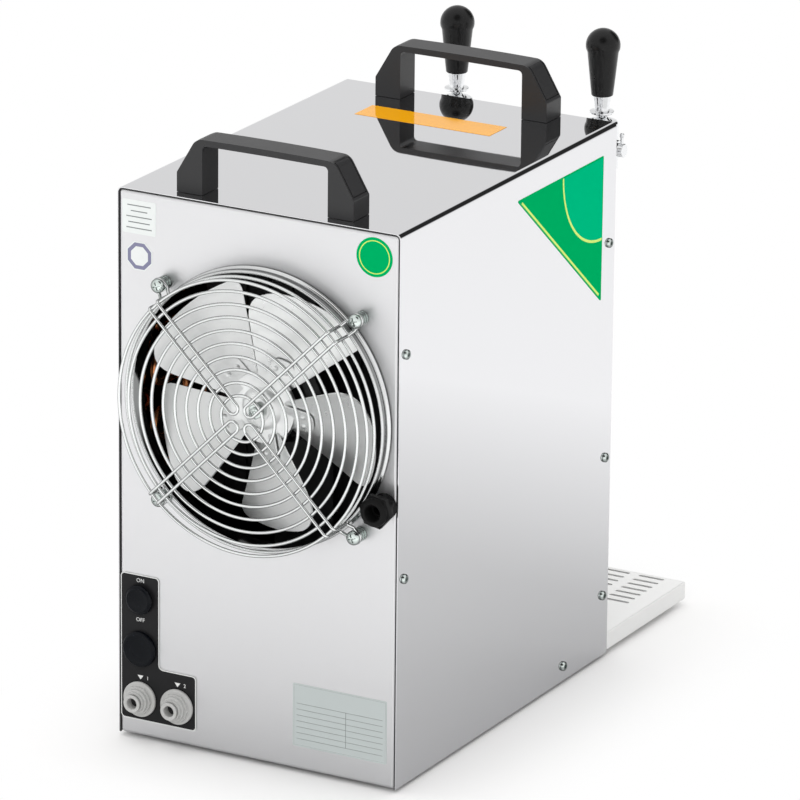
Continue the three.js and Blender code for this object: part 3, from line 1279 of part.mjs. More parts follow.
/** The thermostat: a box behind the front panel with a shaft through it. */
function makeThermostatBody() {
  const half = THERMOSTAT_WIDTH / 2;
  const y0 = frontY + SHEET + SEAT_GAP;
  const body = block([-half, y0, dialZ - half], [half, y0 + THERMOSTAT_DEPTH, dialZ + half]);
  const shaft = bar(
    THERMOSTAT_SHAFT_RADIUS,
    frontY - THERMOSTAT_SHAFT_LENGTH,
    y0 + SHEET,
    'y',
    [0, 0, dialZ],
    SMALL_SIDES,
  );
  return body.add(shaft);
}

/** The thermostat's dial: a skirt and a fluted grip with a bore for the shaft, centred on its axis. */
function makeThermostatDial() {
  const centre = [0, 0, 0];
  const gripTo = -RUNNING_GAP - DIAL_SKIRT - DIAL_GRIP_LENGTH;
  const skirt = bar(DIAL_RADIUS, -RUNNING_GAP - DIAL_SKIRT, -RUNNING_GAP, 'y', centre, ROUND_SIDES);
  const grip = bar(DIAL_GRIP_RADIUS, gripTo, -RUNNING_GAP, 'y', centre, ROUND_SIDES);
  const flutes = [];
  for (let i = 0; i < DIAL_FINGERS; i += 1) {
    const angle = (2 * Math.PI * i) / DIAL_FINGERS;
    flutes.push(bar(
      DIAL_FINGER_RADIUS,
      gripTo - CUT_OVERRUN,
      -RUNNING_GAP - DIAL_SKIRT,
      'y',
      [DIAL_GRIP_RADIUS * Math.cos(angle), 0, DIAL_GRIP_RADIUS * Math.sin(angle)],
      8,
    ));
  }
  const boreRadius = THERMOSTAT_SHAFT_RADIUS + SEAT_GAP;
  const bore = bar(boreRadius, gripTo + DIAL_WALL / 2, CUT_OVERRUN, 'y', centre, SMALL_SIDES);
  return cut(skirt.add(grip), [...flutes, bore]);
}

/** A tap's shank: the tail with its nut inside the panel, the rose in front and the tube to the barrel. */
function makeTapShank() {
  const centre = [0, 0, shankZ];
  const tubeTo = tapY + BARREL_RADIUS - SHANK_SOCKET_DEPTH + SEAT_GAP;
  const tail = bar(SHANK_RADIUS, tubeTo, frontY + SHANK_TAIL, 'y', centre, ROUND_SIDES);
  const rose = turned([
    [0, frontY - SEAT_GAP],
    [SHANK_ROSE_RADIUS, frontY - SEAT_GAP],
    [SHANK_ROSE_RADIUS, frontY - SEAT_GAP - SHANK_ROSE_LENGTH / 3],
    [SHANK_RADIUS + SHANK_ROSE_LENGTH / 3, frontY - SEAT_GAP - SHANK_ROSE_LENGTH],
    [0, frontY - SEAT_GAP - SHANK_ROSE_LENGTH],
  ], 'y', centre, ROUND_SIDES);
  const nutFrom = frontY + SHEET + SEAT_GAP;
  const nut = bar(SHANK_NUT_RADIUS, nutFrom, nutFrom + SHANK_NUT_LENGTH, 'y', centre, 6);
  return join([tail, rose, nut]);
}

const flowY = tapY + FLOW_AXIS_SHIFT;
const flowZ = shankZ + FLOW_RISE;

/** A tap's body: an upright barrel with a well for the lever's ball and a socket for the shank. */
function makeTapBody() {
  const top = shankZ + BARREL_ABOVE_SHANK;
  const bottom = shankZ - BARREL_BELOW_SHANK;
  const barrel = turned([
    [0, bottom],
    [BARREL_RADIUS - BARREL_CHAMFER, bottom],
    [BARREL_RADIUS, bottom + BARREL_CHAMFER],
    [BARREL_RADIUS, top - BARREL_CHAMFER],
    [BARREL_RADIUS - BARREL_CHAMFER, top],
    [0, top],
  ], 'z', [0, tapY, 0], ROUND_SIDES);
  const shankAxis = [0, 0, shankZ];
  const flowAxis = [0, flowY, flowZ];
  const barrelAxis = [0, tapY, 0];
  const collarTo = tapY + BARREL_RADIUS + BARREL_COLLAR_LENGTH;
  const collar = bar(BARREL_COLLAR_RADIUS, tapY, collarTo, 'y', shankAxis, ROUND_SIDES);
  const bossFrom = -BARREL_RADIUS - FLOW_BOSS_LENGTH;
  const boss = bar(FLOW_BOSS_RADIUS, bossFrom, 0, 'x', flowAxis, ROUND_SIDES);
  const socketFrom = tapY + BARREL_RADIUS - SHANK_SOCKET_DEPTH;
  const pinTo = bossFrom + FLOW_PIN_LENGTH + SEAT_GAP;
  const spigotTop = bottom + SPOUT_SPIGOT_LENGTH + SEAT_GAP;
  return cut(join([barrel, collar, boss]), [
    bar(BARREL_WELL_RADIUS, top - BARREL_WELL_DEPTH, top + CUT_OVERRUN, 'z', barrelAxis, ROUND_SIDES),
    bar(SHANK_RADIUS + SEAT_GAP, socketFrom, collarTo + CUT_OVERRUN, 'y', shankAxis, ROUND_SIDES),
    bar(FLOW_PIN_RADIUS + SEAT_GAP, bossFrom - CUT_OVERRUN, pinTo, 'x', flowAxis, SMALL_SIDES),
    bar(SPOUT_RADIUS + SEAT_GAP, bottom - CUT_OVERRUN, spigotTop, 'z', barrelAxis, ROUND_SIDES),
  ]);
}

/** A tap's spout: a collar under the barrel and a tapered tube with a bore. */
function makeTapSpout() {
  const top = shankZ - BARREL_BELOW_SHANK - SEAT_GAP;
  const tip = top - SPOUT_LENGTH;
  return turned([
    [0, tip + SPOUT_BORE_DEPTH],
    [SPOUT_BORE_RADIUS, tip + SPOUT_BORE_DEPTH],
    [SPOUT_BORE_RADIUS, tip],
    [SPOUT_TIP_RADIUS, tip],
    [SPOUT_RADIUS, top - SPOUT_COLLAR_LENGTH],
    [SPOUT_COLLAR_RADIUS, top - SPOUT_COLLAR_LENGTH],
    [SPOUT_COLLAR_RADIUS, top],
    [SPOUT_RADIUS, top],
    [SPOUT_RADIUS, top + SPOUT_SPIGOT_LENGTH],
    [0, top + SPOUT_SPIGOT_LENGTH],
  ], 'z', [0, tapY, 0], ROUND_SIDES);
}

/** The compensator lever: a hub with a pin in the barrel and an arm that leans out to a black tip. */
function makeFlowLever() {
  const hubTo = -BARREL_RADIUS - FLOW_BOSS_LENGTH - RUNNING_GAP;
  const hubFrom = hubTo - FLOW_HUB_LENGTH;
  const centre = [0, flowY, flowZ];
  const hub = bar(FLOW_HUB_RADIUS, hubFrom, hubTo, 'x', centre, ROUND_SIDES);
  const pinTo = hubTo + RUNNING_GAP + FLOW_PIN_LENGTH;
  const pin = bar(FLOW_PIN_RADIUS, hubTo - SHEET, pinTo, 'x', centre, SMALL_SIDES);
  const armX = (hubFrom + hubTo) / 2;
  const armTo = flowZ + FLOW_HUB_RADIUS + FLOW_ARM_LENGTH;
  const arm = bar(FLOW_ARM_RADIUS, flowZ, armTo, 'z', [armX, flowY, 0], SMALL_SIDES);
  const tip = bar(FLOW_TIP_RADIUS, armTo - FLOW_TIP_LENGTH, armTo, 'z', [armX, flowY, 0], SMALL_SIDES);
  return join([hub, pin, arm, tip]);
}

const pivotZ = shankZ + LEVER_PIVOT_RISE;
const ferruleZ = shankZ + FERRULE_RISE;
const knobZ = ferruleZ + FERRULE_LENGTH + SEAT_GAP;

/** A tap's lever: a ball in the barrel's well, a stem, a flanged ferrule and a stud for the knob. */
function makeTapLever() {
  const ball = new THREE.SphereGeometry(LEVER_BALL_RADIUS, ROUND_SIDES, SMALL_SIDES - 2);
  ball.rotateX(Math.PI / 2);
  ball.translate(0, tapY, pivotZ);
  const ferruleTo = ferruleZ + FERRULE_LENGTH;
  const stem = turned([
    [0, pivotZ],
    [LEVER_STEM_RADIUS, pivotZ],
    [LEVER_STEM_RADIUS, ferruleZ],
    [FERRULE_FLANGE_RADIUS, ferruleZ],
    [FERRULE_FLANGE_RADIUS, ferruleZ + FERRULE_FLANGE],
    [FERRULE_FOOT_RADIUS, ferruleZ + FERRULE_FLANGE],
    [FERRULE_HEAD_RADIUS, ferruleTo],
    [KNOB_STUD_RADIUS, ferruleTo],
    [KNOB_STUD_RADIUS, ferruleTo + KNOB_STUD_LENGTH],
    [0, ferruleTo + KNOB_STUD_LENGTH],
  ], 'z', [0, tapY, 0], ROUND_SIDES);
  return solidOf(ball).add(stem);
}

/** The knob of a tap: a cone that swells to a ball, with a bore for the lever's stud. */
function makeTapKnob() {
  const ballZ = knobZ + KNOB_LENGTH - KNOB_BALL_RADIUS;
  const profile = [[0, knobZ], [KNOB_FOOT_RADIUS, knobZ], [KNOB_NECK_RADIUS, ballZ - KNOB_BALL_RADIUS / 3]];
  for (let i = 0; i <= SMALL_SIDES / 2; i += 1) {
    const angle = (Math.PI / 2) * (i / (SMALL_SIDES / 2));
    profile.push([KNOB_BALL_RADIUS * Math.cos(angle), ballZ + KNOB_BALL_RADIUS * Math.sin(angle)]);
  }
  profile[profile.length - 1][0] = 0;
  const knob = turned(profile, 'z', [0, tapY, 0], ROUND_SIDES);
  const bore = bar(
    KNOB_STUD_RADIUS + SEAT_GAP,
    knobZ - CUT_OVERRUN,
    knobZ + KNOB_STUD_LENGTH + SEAT_GAP,
    'z',
    [0, tapY, 0],
    SMALL_SIDES,
  );
  return knob.subtract(bore);
}

const trayRearY = frontY - SEAT_GAP;
const trayFrontY = frontY - TRAY_DEPTH;
const trayLow = baseZ + TRAY_LIFT;
const trayTop = trayLow + TRAY_HEIGHT;

/** The drip tray: a shallow pan with two tongues that push into the front panel. */
function makeDripTray() {
  const pan = block([-halfWidth, trayFrontY, trayLow], [halfWidth, trayRearY, trayTop]);
  const well = block(
    [-halfWidth + SHEET, trayFrontY + SHEET, trayLow + SHEET],
    [halfWidth - SHEET, trayRearY - SHEET, trayTop + CUT_OVERRUN],
  );
  const tongues = tongueXs.map((x) => block(
    [x - TRAY_TONGUE_WIDTH / 2, trayRearY - SHEET / 2, tongueZ],
    [x + TRAY_TONGUE_WIDTH / 2, trayRearY + TRAY_TONGUE_LENGTH, tongueZ + TRAY_TONGUE_THICKNESS],
  ));
  return join([pan.subtract(well), ...tongues]);
}

/** The slotted grille that lies in the tray on two turned-down runners. */
function makeDripGrille() {
  const half = halfWidth - SHEET - SEAT_GAP;
  const rear = trayRearY - SHEET - SEAT_GAP;
  const front = trayFrontY + SHEET + SEAT_GAP;
  const floor = trayLow + SHEET + SEAT_GAP;
  const plate = block([-half, front, trayTop - SHEET], [half, rear, trayTop]);
  const runnerInset = half - GRILLE_FOOT_INSET;
  const runners = [-runnerInset, runnerInset - SHEET].map(
    (x) => block([x, front, floor], [x + SHEET, rear, trayTop - SHEET / 2]),
  );
  const slots = [];
  for (let column = 0; column < SLOT_COLUMNS; column += 1) {
    const x = (column - (SLOT_COLUMNS - 1) / 2) * SLOT_COLUMN_PITCH;
    for (let row = 0; row < SLOT_ROWS; row += 1) {
      const y = trayFrontY + SLOT_FRONT_INSET + row * SLOT_ROW_PITCH;
      slots.push(block(
        [x - SLOT_LENGTH / 2, y - SLOT_WIDTH / 2, trayTop - SHEET - CUT_OVERRUN],
        [x + SLOT_LENGTH / 2, y + SLOT_WIDTH / 2, trayTop + CUT_OVERRUN],
      ));
    }
  }
  return cut(join([plate, ...runners]), slots);
}

// Cabinet
const origin = [0, 0, 0];
addPiece('base_pan', makeBasePan(), finish(STEEL_COLOR, 0.4, 1));
addPiece('rear_panel', makeRearPanel(), finish(STEEL_COLOR, 0.32, 1));
addPiece('front_panel', makeFrontPanel(), finish(STEEL_COLOR, 0.32, 1));
addPiece('wrap_cover', makeWrapCover(), finish(MIRROR_COLOR, 0.12, 1));
footPlaces.forEach(([x, y], index) => {
  addPiece(`foot_${index + 1}`, makeFoot(), finish(RUBBER_COLOR, 0.85, 0), [x, y, 0]);
});
const rearStrip = makeNutStrip(rearScrews);
const frontStrip = makeNutStrip(frontScrews, baseScrew);
addPiece('side_screws_rear_left', rearStrip, finish(ZINC_COLOR, 0.35, 1));
addPiece('side_screws_front_left', frontStrip, finish(ZINC_COLOR, 0.35, 1));
addPiece('side_screws_rear_right', rearStrip.mirror([1, 0, 0]), finish(ZINC_COLOR, 0.35, 1));
addPiece('side_screws_front_right', frontStrip.mirror([1, 0, 0]), finish(ZINC_COLOR, 0.35, 1));

// Carrying bows
const rearBowY = rearY - REAR_HANDLE_INSET;
const frontBowY = frontY + FRONT_HANDLE_INSET + HANDLE_DEPTH;
addPiece('handle_rear', makeHandle(), finish(BLACK_COLOR, 0.6, 0), [0, rearBowY, topZ + SEAT_GAP]);
addPiece('handle_front', makeHandle(), finish(BLACK_COLOR, 0.6, 0), [0, frontBowY, topZ + SEAT_GAP]);

// Fan
const fanGroup = new THREE.Group();
fanGroup.position.set(FAN_X, rearY, fanZ);
assembly.add(fanGroup);
addPiece('fan_ring', makeFanRing(), finish(CHROME_COLOR, 0.25, 1), origin, fanGroup);
addPiece('fan_guard', makeFanGuard(), finish(CHROME_COLOR, 0.2, 1), origin, fanGroup);
addPiece('fan_blades', makeFanBlades(), finish(BLADE_COLOR, 0.35, 0.8), origin, fanGroup);
addPiece('fan_motor', makeFanMotor(), finish(PAINT_COLOR, 0.5, 0.4), origin, fanGroup);
guardScrewPlaces.forEach(([x, z], index) => {
  addPiece(`guard_screw_${index + 1}`, makeGuardScrew(), finish(ZINC_COLOR, 0.3, 1), [x, rearY, z]);
});
addPiece('motor_stand', makeMotorStand(), finish(ZINC_COLOR, 0.45, 1));

// Cooling unit
addPiece('condenser', makeCondenser(), finish(FIN_COLOR, 0.6, 0.3));
addPiece('condenser_coil', makeCondenserCoil(), finish(COPPER_COLOR, 0.3, 1));
addPiece('compressor', makeCompressor(), finish(PAINT_COLOR, 0.4, 0.2));
addPiece('suction_line', makeSuctionLine(), finish(COPPER_COLOR, 0.35, 1));
addPiece('filter_drier', makeFilterDrier(), finish(COPPER_COLOR, 0.3, 1));
addPiece('cooling_core', makeCoolingCore(), finish(ALUMINIUM_COLOR, 0.4, 1));
addPiece('cooling_jacket', makeCoolingJacket(), finish(FOAM_COLOR, 0.9, 0));
inletXs.forEach((x, index) => {
  addPiece(`beer_coil_${index + 1}`, makeBeerLine(index), finish(CHROME_COLOR, 0.3, 1));
});
addPiece('air_pump', makeAirPump(), finish(PAINT_COLOR, 0.6, 0));

// Rear connections
const switchPlace = [columnX, plateFace, baseZ + SWITCH_HEIGHT];
const outletPlace = [columnX, plateFace, baseZ + OUTLET_HEIGHT];
const glandPlace = [glandX, rearY, glandZ];
addPiece('control_plate', makeControlPlate(), finish(BLACK_COLOR, 0.5, 0));
addPiece('air_button', makeAirButton(), finish(RUBBER_COLOR, 0.3, 0), switchPlace);
addPiece('air_port', makeAirPort(), finish(NYLON_COLOR, 0.5, 0), outletPlace);
addPiece('air_cap', makeAirCap(), finish(RUBBER_COLOR, 0.3, 0), outletPlace);
inletXs.forEach((x, index) => {
  const place = [x, plateFace, inletZ];
  addPiece(`inlet_fitting_${index + 1}`, makeInletFitting(), finish(NYLON_COLOR, 0.45, 0), place);
  addPiece(`inlet_collet_${index + 1}`, makeInletCollet(), finish(NYLON_COLOR, 0.45, 0), place);
});
addPiece('gland_body', makeGlandBody(), finish(BLACK_COLOR, 0.5, 0), glandPlace);
addPiece('gland_nut', makeGlandNut(), finish(BLACK_COLOR, 0.5, 0), glandPlace);

// Thermostat
addPiece('thermostat_body', makeThermostatBody(), finish(NYLON_COLOR, 0.6, 0));
addPiece('thermostat_dial', makeThermostatDial(), finish(BLACK_COLOR, 0.5, 0), [0, frontY, dialZ]);

// Taps
tapXs.forEach((x, index) => {
  const tap = new THREE.Group();
  tap.position.x = x;
  assembly.add(tap);
  const side = sideNames[index];
  addPiece(`tap_shank_${side}`, makeTapShank(), finish(CHROME_COLOR, 0.15, 1), origin, tap);
  addPiece(`tap_body_${side}`, makeTapBody(), finish(CHROME_COLOR, 0.12, 1), origin, tap);
  addPiece(`tap_spout_${side}`, makeTapSpout(), finish(CHROME_COLOR, 0.12, 1), origin, tap);
  addPiece(`flow_lever_${side}`, makeFlowLever(), finish(CHROME_COLOR, 0.15, 1), origin, tap);
  addPiece(`tap_lever_${side}`, makeTapLever(), finish(CHROME_COLOR, 0.12, 1), origin, tap);
  addPiece(`tap_knob_${side}`, makeTapKnob(), finish(BLACK_COLOR, 0.15, 0), origin, tap);
});

// Drip tray
addPiece('drip_tray', makeDripTray(), finish(STEEL_COLOR, 0.3, 1));
addPiece('drip_grille', makeDripGrille(), finish(STEEL_COLOR, 0.3, 1));

// The guard's front wires and the tray's front edge are the part's ends along Y
const partRearY = rearY + guardArmY + GUARD_WIRE_RADIUS;
assembly.position.y = -(partRearY + trayFrontY) / 2;

export default assembly;
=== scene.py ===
# %% [markdown]
# # A two-tap draft beer dispenser, dressed for its portrait
# The construction model gives every part its place and size. This lesson puts fine sheet metal, wire,
# plastic and labels over it, one part at a time, and ends with a studio and a camera. All lengths are
# in metres. +Z is up, the fan looks along +Y and the taps look along -Y.

import json
import math

import bmesh
import bpy
from mathutils import Matrix, Vector


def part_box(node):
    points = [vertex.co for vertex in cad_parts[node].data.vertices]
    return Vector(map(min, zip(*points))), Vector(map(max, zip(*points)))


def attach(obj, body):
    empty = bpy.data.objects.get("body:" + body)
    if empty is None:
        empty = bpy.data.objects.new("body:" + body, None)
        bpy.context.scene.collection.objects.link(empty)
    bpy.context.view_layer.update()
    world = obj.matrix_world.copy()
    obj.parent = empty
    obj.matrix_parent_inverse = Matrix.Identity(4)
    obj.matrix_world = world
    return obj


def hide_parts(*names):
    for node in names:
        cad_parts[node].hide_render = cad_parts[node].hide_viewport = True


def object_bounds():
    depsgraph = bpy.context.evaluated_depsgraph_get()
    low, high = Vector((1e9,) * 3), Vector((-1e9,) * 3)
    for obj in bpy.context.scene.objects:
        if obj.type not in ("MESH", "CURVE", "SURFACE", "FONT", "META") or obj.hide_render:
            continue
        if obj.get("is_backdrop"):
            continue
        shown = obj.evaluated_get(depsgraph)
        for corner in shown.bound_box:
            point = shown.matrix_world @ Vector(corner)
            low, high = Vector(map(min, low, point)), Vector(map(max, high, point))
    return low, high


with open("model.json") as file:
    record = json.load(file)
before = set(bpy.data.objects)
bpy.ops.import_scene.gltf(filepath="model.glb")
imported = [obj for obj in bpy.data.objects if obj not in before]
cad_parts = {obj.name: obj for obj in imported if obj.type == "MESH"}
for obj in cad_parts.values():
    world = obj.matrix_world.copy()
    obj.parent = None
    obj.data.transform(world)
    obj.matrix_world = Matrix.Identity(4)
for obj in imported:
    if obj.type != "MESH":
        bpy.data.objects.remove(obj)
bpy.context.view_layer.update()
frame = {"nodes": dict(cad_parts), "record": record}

# %% [markdown]
# ## Planes that the parts share
# The cover's box gives the faces of the cabinet, and the collar's box gives the fan's axis. Reading
# them from the model, instead of typing them again, keeps the dressed parts on the real ones.

# %% Read the shared planes
cover_low, cover_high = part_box("wrap_cover")
HALF_WIDTH = cover_high.x
TOP = cover_high.z
BOTTOM = cover_low.z
REAR = cover_high.y
FRONT = cover_low.y
SHEET = 0.0012
SEAT_GAP = 0.0003
ring_low, ring_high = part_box("fan_ring")
FAN = Vector(((ring_low.x + ring_high.x) / 2, REAR, (ring_low.z + ring_high.z) / 2))
UP = Vector((0, 0, 1))
OUT = Vector((0, 1, 0))
SIDE = Vector((1, 0, 0))
print("cabinet", round(2 * HALF_WIDTH, 4), round(REAR - FRONT, 4), round(TOP - BOTTOM, 4), "fan axis", FAN)

# %% [markdown]
# ## Small helpers for meshes
# A bmesh is a mesh that Python can shape with the modelling operators. Each part below starts as one,
# and `settle` turns it into an object that rides on a body of the model. Edges that fold sharply
# stay sharp, the rest is shaded smooth, and Weighted Normal keeps wide flat faces looking flat.

# %% Turn a bmesh into a piece of the object
def settle(bm, name, materials, body="cabinet", stands_for=(), slot=None, sharp=38):
    """Makes a piece of the bmesh. It rides on `body` and replaces the nodes in `stands_for`."""
    bmesh.ops.remove_doubles(bm, verts=bm.verts, dist=1e-6)
    bmesh.ops.recalc_face_normals(bm, faces=bm.faces)
    mesh = bpy.data.meshes.new(name)
    bm.to_mesh(mesh)
    bm.free()
    for material in materials:
        mesh.materials.append(material)
    mesh.shade_smooth()
    mesh.set_sharp_from_angle(angle=math.radians(sharp))
    piece = bpy.data.objects.new(name, mesh)
    bpy.context.scene.collection.objects.link(piece)
    normals = piece.modifiers.new("even_shine", "WEIGHTED_NORMAL")
    normals.keep_sharp = True
    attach(piece, body)
    if stands_for:
        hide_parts(*stands_for)
    print(f"{name}: {len(mesh.vertices)} vertices, {len(mesh.polygons)} faces")
    return piece


# %% Blocks, rounded edges and folded sheet
def block(bm, low, high):
    """Adds a straight block between two corners and returns its vertices."""
    low, high = Vector(low), Vector(high)
    place = Matrix.Translation((low + high) / 2) @ Matrix.Diagonal((*(high - low), 1))
    return bmesh.ops.create_cube(bm, size=1, matrix=place)["verts"]


def folds(edges, least=30):
    """The edges where two faces meet at more than this many degrees."""
    return [e for e in edges if e.is_manifold and e.calc_face_angle(0) > math.radians(least)]


def round_edges(bm, edges, width, segments):
    """Rounds the given edges."""
    return bmesh.ops.bevel(
        bm, geom=edges, offset=width, offset_type="OFFSET", segments=segments,
        profile=0.5, affect="EDGES", material=-1, clamp_overlap=True,
    )


def soften(bm, width, segments=2, least=30, edges=None):
    """Rounds every fold, so that it catches a line of light."""
    round_edges(bm, folds(bm.edges if edges is None else edges, least), width, segments)


def fold_sheet(bm, unwanted, radius, segments):
    """Opens a block, rounds the folds that stay and gives the sheet its thickness."""
    bmesh.ops.delete(bm, geom=unwanted, context="FACES")
    round_edges(bm, [e for e in bm.edges if e.is_manifold], radius, segments)
    bmesh.ops.solidify(bm, geom=bm.faces[:], thickness=SHEET)


# %% Turned shapes, bars and slabs
def turned(bm, profile, centre, axis, steps=64, closed=False):
    """Spins [radius, height] points round an axis, as a lathe does."""
    across = Vector((axis.z, axis.x, axis.y))
    verts = [bm.verts.new(centre + across * r + axis * h) for r, h in profile]
    pairs = list(zip(verts, verts[1:])) + ([(verts[-1], verts[0])] if closed else [])
    edges = [bm.edges.new(pair) for pair in pairs]
    bmesh.ops.spin(
        bm, geom=verts + edges, cent=centre, axis=axis, angle=math.tau, steps=steps, use_merge=True,
    )
    bmesh.ops.remove_doubles(bm, verts=bm.verts, dist=1e-7)


def turn_piece(name, profile, centre, axis, steps, material, closed=False, **settled):
    """Turns one profile into a piece of its own."""
    bm = bmesh.new()
    turned(bm, profile, centre, axis, steps, closed)
    return settle(bm, name, [material], **settled)


def prism(bm, radius, sides, centre, axis, length):
    """Adds a straight bar with a regular outline, such as a hexagon."""
    aim = axis.to_track_quat("Z", "Y").to_matrix().to_4x4()
    place = Matrix.Translation(centre) @ aim
    made = bmesh.ops.create_circle(bm, cap_ends=True, segments=sides, radius=radius, matrix=place)
    face = made["verts"][0].link_faces[0]
    grown = bmesh.ops.extrude_face_region(bm, geom=[face])["geom"]
    moved = [g for g in grown if isinstance(g, bmesh.types.BMVert)]
    bmesh.ops.translate(bm, vec=axis * length, verts=moved)
    return made["verts"] + moved


def slab(bm, outline, depth):
    """Makes a face from points and pushes it out by a depth vector."""
    face = bm.faces.new([bm.verts.new(p) for p in outline])
    grown = bmesh.ops.extrude_face_region(bm, geom=[face])["geom"]
    moved = [g for g in grown if isinstance(g, bmesh.types.BMVert)]
    bmesh.ops.translate(bm, vec=depth, verts=moved)
    bmesh.ops.recalc_face_normals(bm, faces=bm.faces)


# %% Draw a tube along a path
def arc(centre, start, end, across, along, radius, steps):
    """Points on a round bend: centre + radius * (cos * across + sin * along)."""
    angles = [start + (end - start) * i / steps for i in range(steps + 1)]
    return [centre + radius * (math.cos(a) * across + math.sin(a) * along) for a in angles]


def corner(at, before, after, radius, steps):
    """Points that round off one corner of an outline."""
    to_start = (before - at).normalized()
    to_end = (after - at).normalized()
    half = to_start.angle(to_end) / 2
    reach = radius / math.tan(half)
    middle = at + (to_start + to_end).normalized() * (radius / math.sin(half))
    start, end = at + to_start * reach, at + to_end * reach
    turn = (start - middle).angle(end - middle)
    axis = (start - middle).cross(end - middle).normalized()
    return [middle + Matrix.Rotation(turn * i / steps, 3, axis) @ (start - middle)
            for i in range(steps + 1)]


def round_off(corners, radius, steps):
    """Rounds off every corner of a closed outline."""
    points = []
    for i, at in enumerate(corners):
        points += corner(at, corners[i - 1], corners[(i + 1) % len(corners)], radius, steps)
    return points


def tube(bm, points, radius, closed=False):
    """Sweeps a round wire along points with a curve, and adds its mesh to the bmesh."""
    curve = bpy.data.curves.new("wire", "CURVE")
    curve.dimensions = "3D"
    curve.bevel_depth = radius
    curve.bevel_resolution = 4
    curve.use_fill_caps = not closed
    spline = curve.splines.new("POLY")
    spline.points.add(len(points) - 1)
    for spot, p in zip(spline.points, points):
        spot.co = (*p, 1)
    spline.use_cyclic_u = closed
    carrier = bpy.data.objects.new("wire", curve)
    mesh = bpy.data.meshes.new_from_object(carrier)
    bm.from_mesh(mesh)
    bpy.data.objects.remove(carrier)
    bpy.data.curves.remove(curve)
    bpy.data.meshes.remove(mesh)


# %% Pour one shape into another, and cut one out of another
def pour(source, bm):
    """Moves all that one bmesh holds into another."""
    carrier = bpy.data.meshes.new("carrier")
    source.to_mesh(carrier)
    source.free()
    bm.from_mesh(carrier)
    bpy.data.meshes.remove(carrier)


def carve(bm, tool):
    """Cuts the tool's shape out of a bmesh with a Boolean modifier, and returns the rest."""
    made = []
    for shape in (bm, tool):
        bmesh.ops.recalc_face_normals(shape, faces=shape.faces)
        mesh = bpy.data.meshes.new("carving")
        shape.to_mesh(mesh)
        shape.free()
        made.append(bpy.data.objects.new("carving", mesh))
        bpy.context.scene.collection.objects.link(made[-1])
    cutter = made[0].modifiers.new("cut", "BOOLEAN")
    cutter.operation = "DIFFERENCE"
    cutter.solver = "EXACT"
    cutter.object = made[1]
    graph = bpy.context.evaluated_depsgraph_get()
    result = bmesh.new()
    result.from_object(made[0], graph)
    for carrier in made:
        bpy.data.objects.remove(carrier)
    return result

# %% [markdown]
# ## Camera
# The picture was taken from far away with a long lens: upright edges stay upright and parallel edges
# hardly meet. So the camera stands about six and a half metres away, turned by a heading, a tilt and a
# small roll, and its focal length brings the object up to the edges of the frame.

# %% Place the camera
CAMERA_SPOT = Vector((-2.964654, 5.372653, 2.318771))
HEADING, TILT, ROLL = 0.504516, 0.322397, 0.009978
FOCAL_LENGTH = 317.44
aim = Vector((
    math.sin(HEADING) * math.cos(TILT), -math.cos(HEADING) * math.cos(TILT), -math.sin(TILT),
))
level = aim.cross(UP).normalized()
lift = level.cross(aim)
right_hand = level * math.cos(ROLL) + lift * math.sin(ROLL)
overhead = lift * math.cos(ROLL) - level * math.sin(ROLL)
lens = bpy.data.cameras.new("portrait_camera")
lens.lens = FOCAL_LENGTH
lens.clip_end = 100
camera = bpy.data.objects.new("portrait_camera", lens)
camera.matrix_world = Matrix.Translation(CAMERA_SPOT) @ Matrix((
    right_hand, overhead, -aim)).transposed().to_4x4()
bpy.context.scene.collection.objects.link(camera)
bpy.context.scene.camera = camera
print("camera", round(CAMERA_SPOT.length, 2), "m away, focal length", FOCAL_LENGTH, "mm")

# %% [markdown]
# ## Studio
# Polished steel shows the room more than itself. The room here is white, with two black cards in the
# air, as a photographer hangs them: flat steel faces reflect the white part, while bends, wires and
# chrome pick up thin dark lines that draw their shape. Direct light is one soft dome and four wide
# lamps, at a level where a painted colour comes out about as it is written.

# %% Add and link nodes
WHITE = (1, 1, 1, 1)


def add(tree, kind, label, given=None, **settings):
    """Adds a node, names it, and sets its properties and the values given to its sockets."""
    node = tree.nodes.new(kind)
    node.name = node.label = label
    for key, value in settings.items():
        setattr(node, key, value)
    for socket, value in (given or {}).items():
        node.inputs[socket].default_value = value
    return node


def chain(tree, *pairs):
    """Links outputs to inputs, given as pairs of sockets."""
    for source, target in pairs:
        tree.links.new(source, target)


# %% Paint the room in bands
ROOM_BANDS = [(0.0, 1.0), (0.12, 0.97), (0.30, 0.80), (0.60, 0.86), (1.0, 0.95)]
world = bpy.data.worlds.new("white_studio")
bpy.context.scene.world = world
world.use_nodes = True
room = world.node_tree
room.nodes.clear()
direction = add(room, "ShaderNodeTexCoord", "direction")
height = add(room, "ShaderNodeSeparateXYZ", "height of direction")
bands = add(room, "ShaderNodeValToRGB", "bands of the room")
while len(bands.color_ramp.elements) < len(ROOM_BANDS):
    bands.color_ramp.elements.new(0.5)
for stop, (place, grey) in zip(bands.color_ramp.elements, ROOM_BANDS):
    stop.position = place
    stop.color = (grey, grey, grey, 1)
print("bands, as height and grey", ROOM_BANDS)

# %% Hang the black cards
CARD_TONE = 0.03
LOW_CARD, HIGH_CARD = (-0.308, -0.875, 0.372), (-0.30, 0.62, 0.75)
LOW_EDGE, HIGH_EDGE, CORE = 26, 25, 19


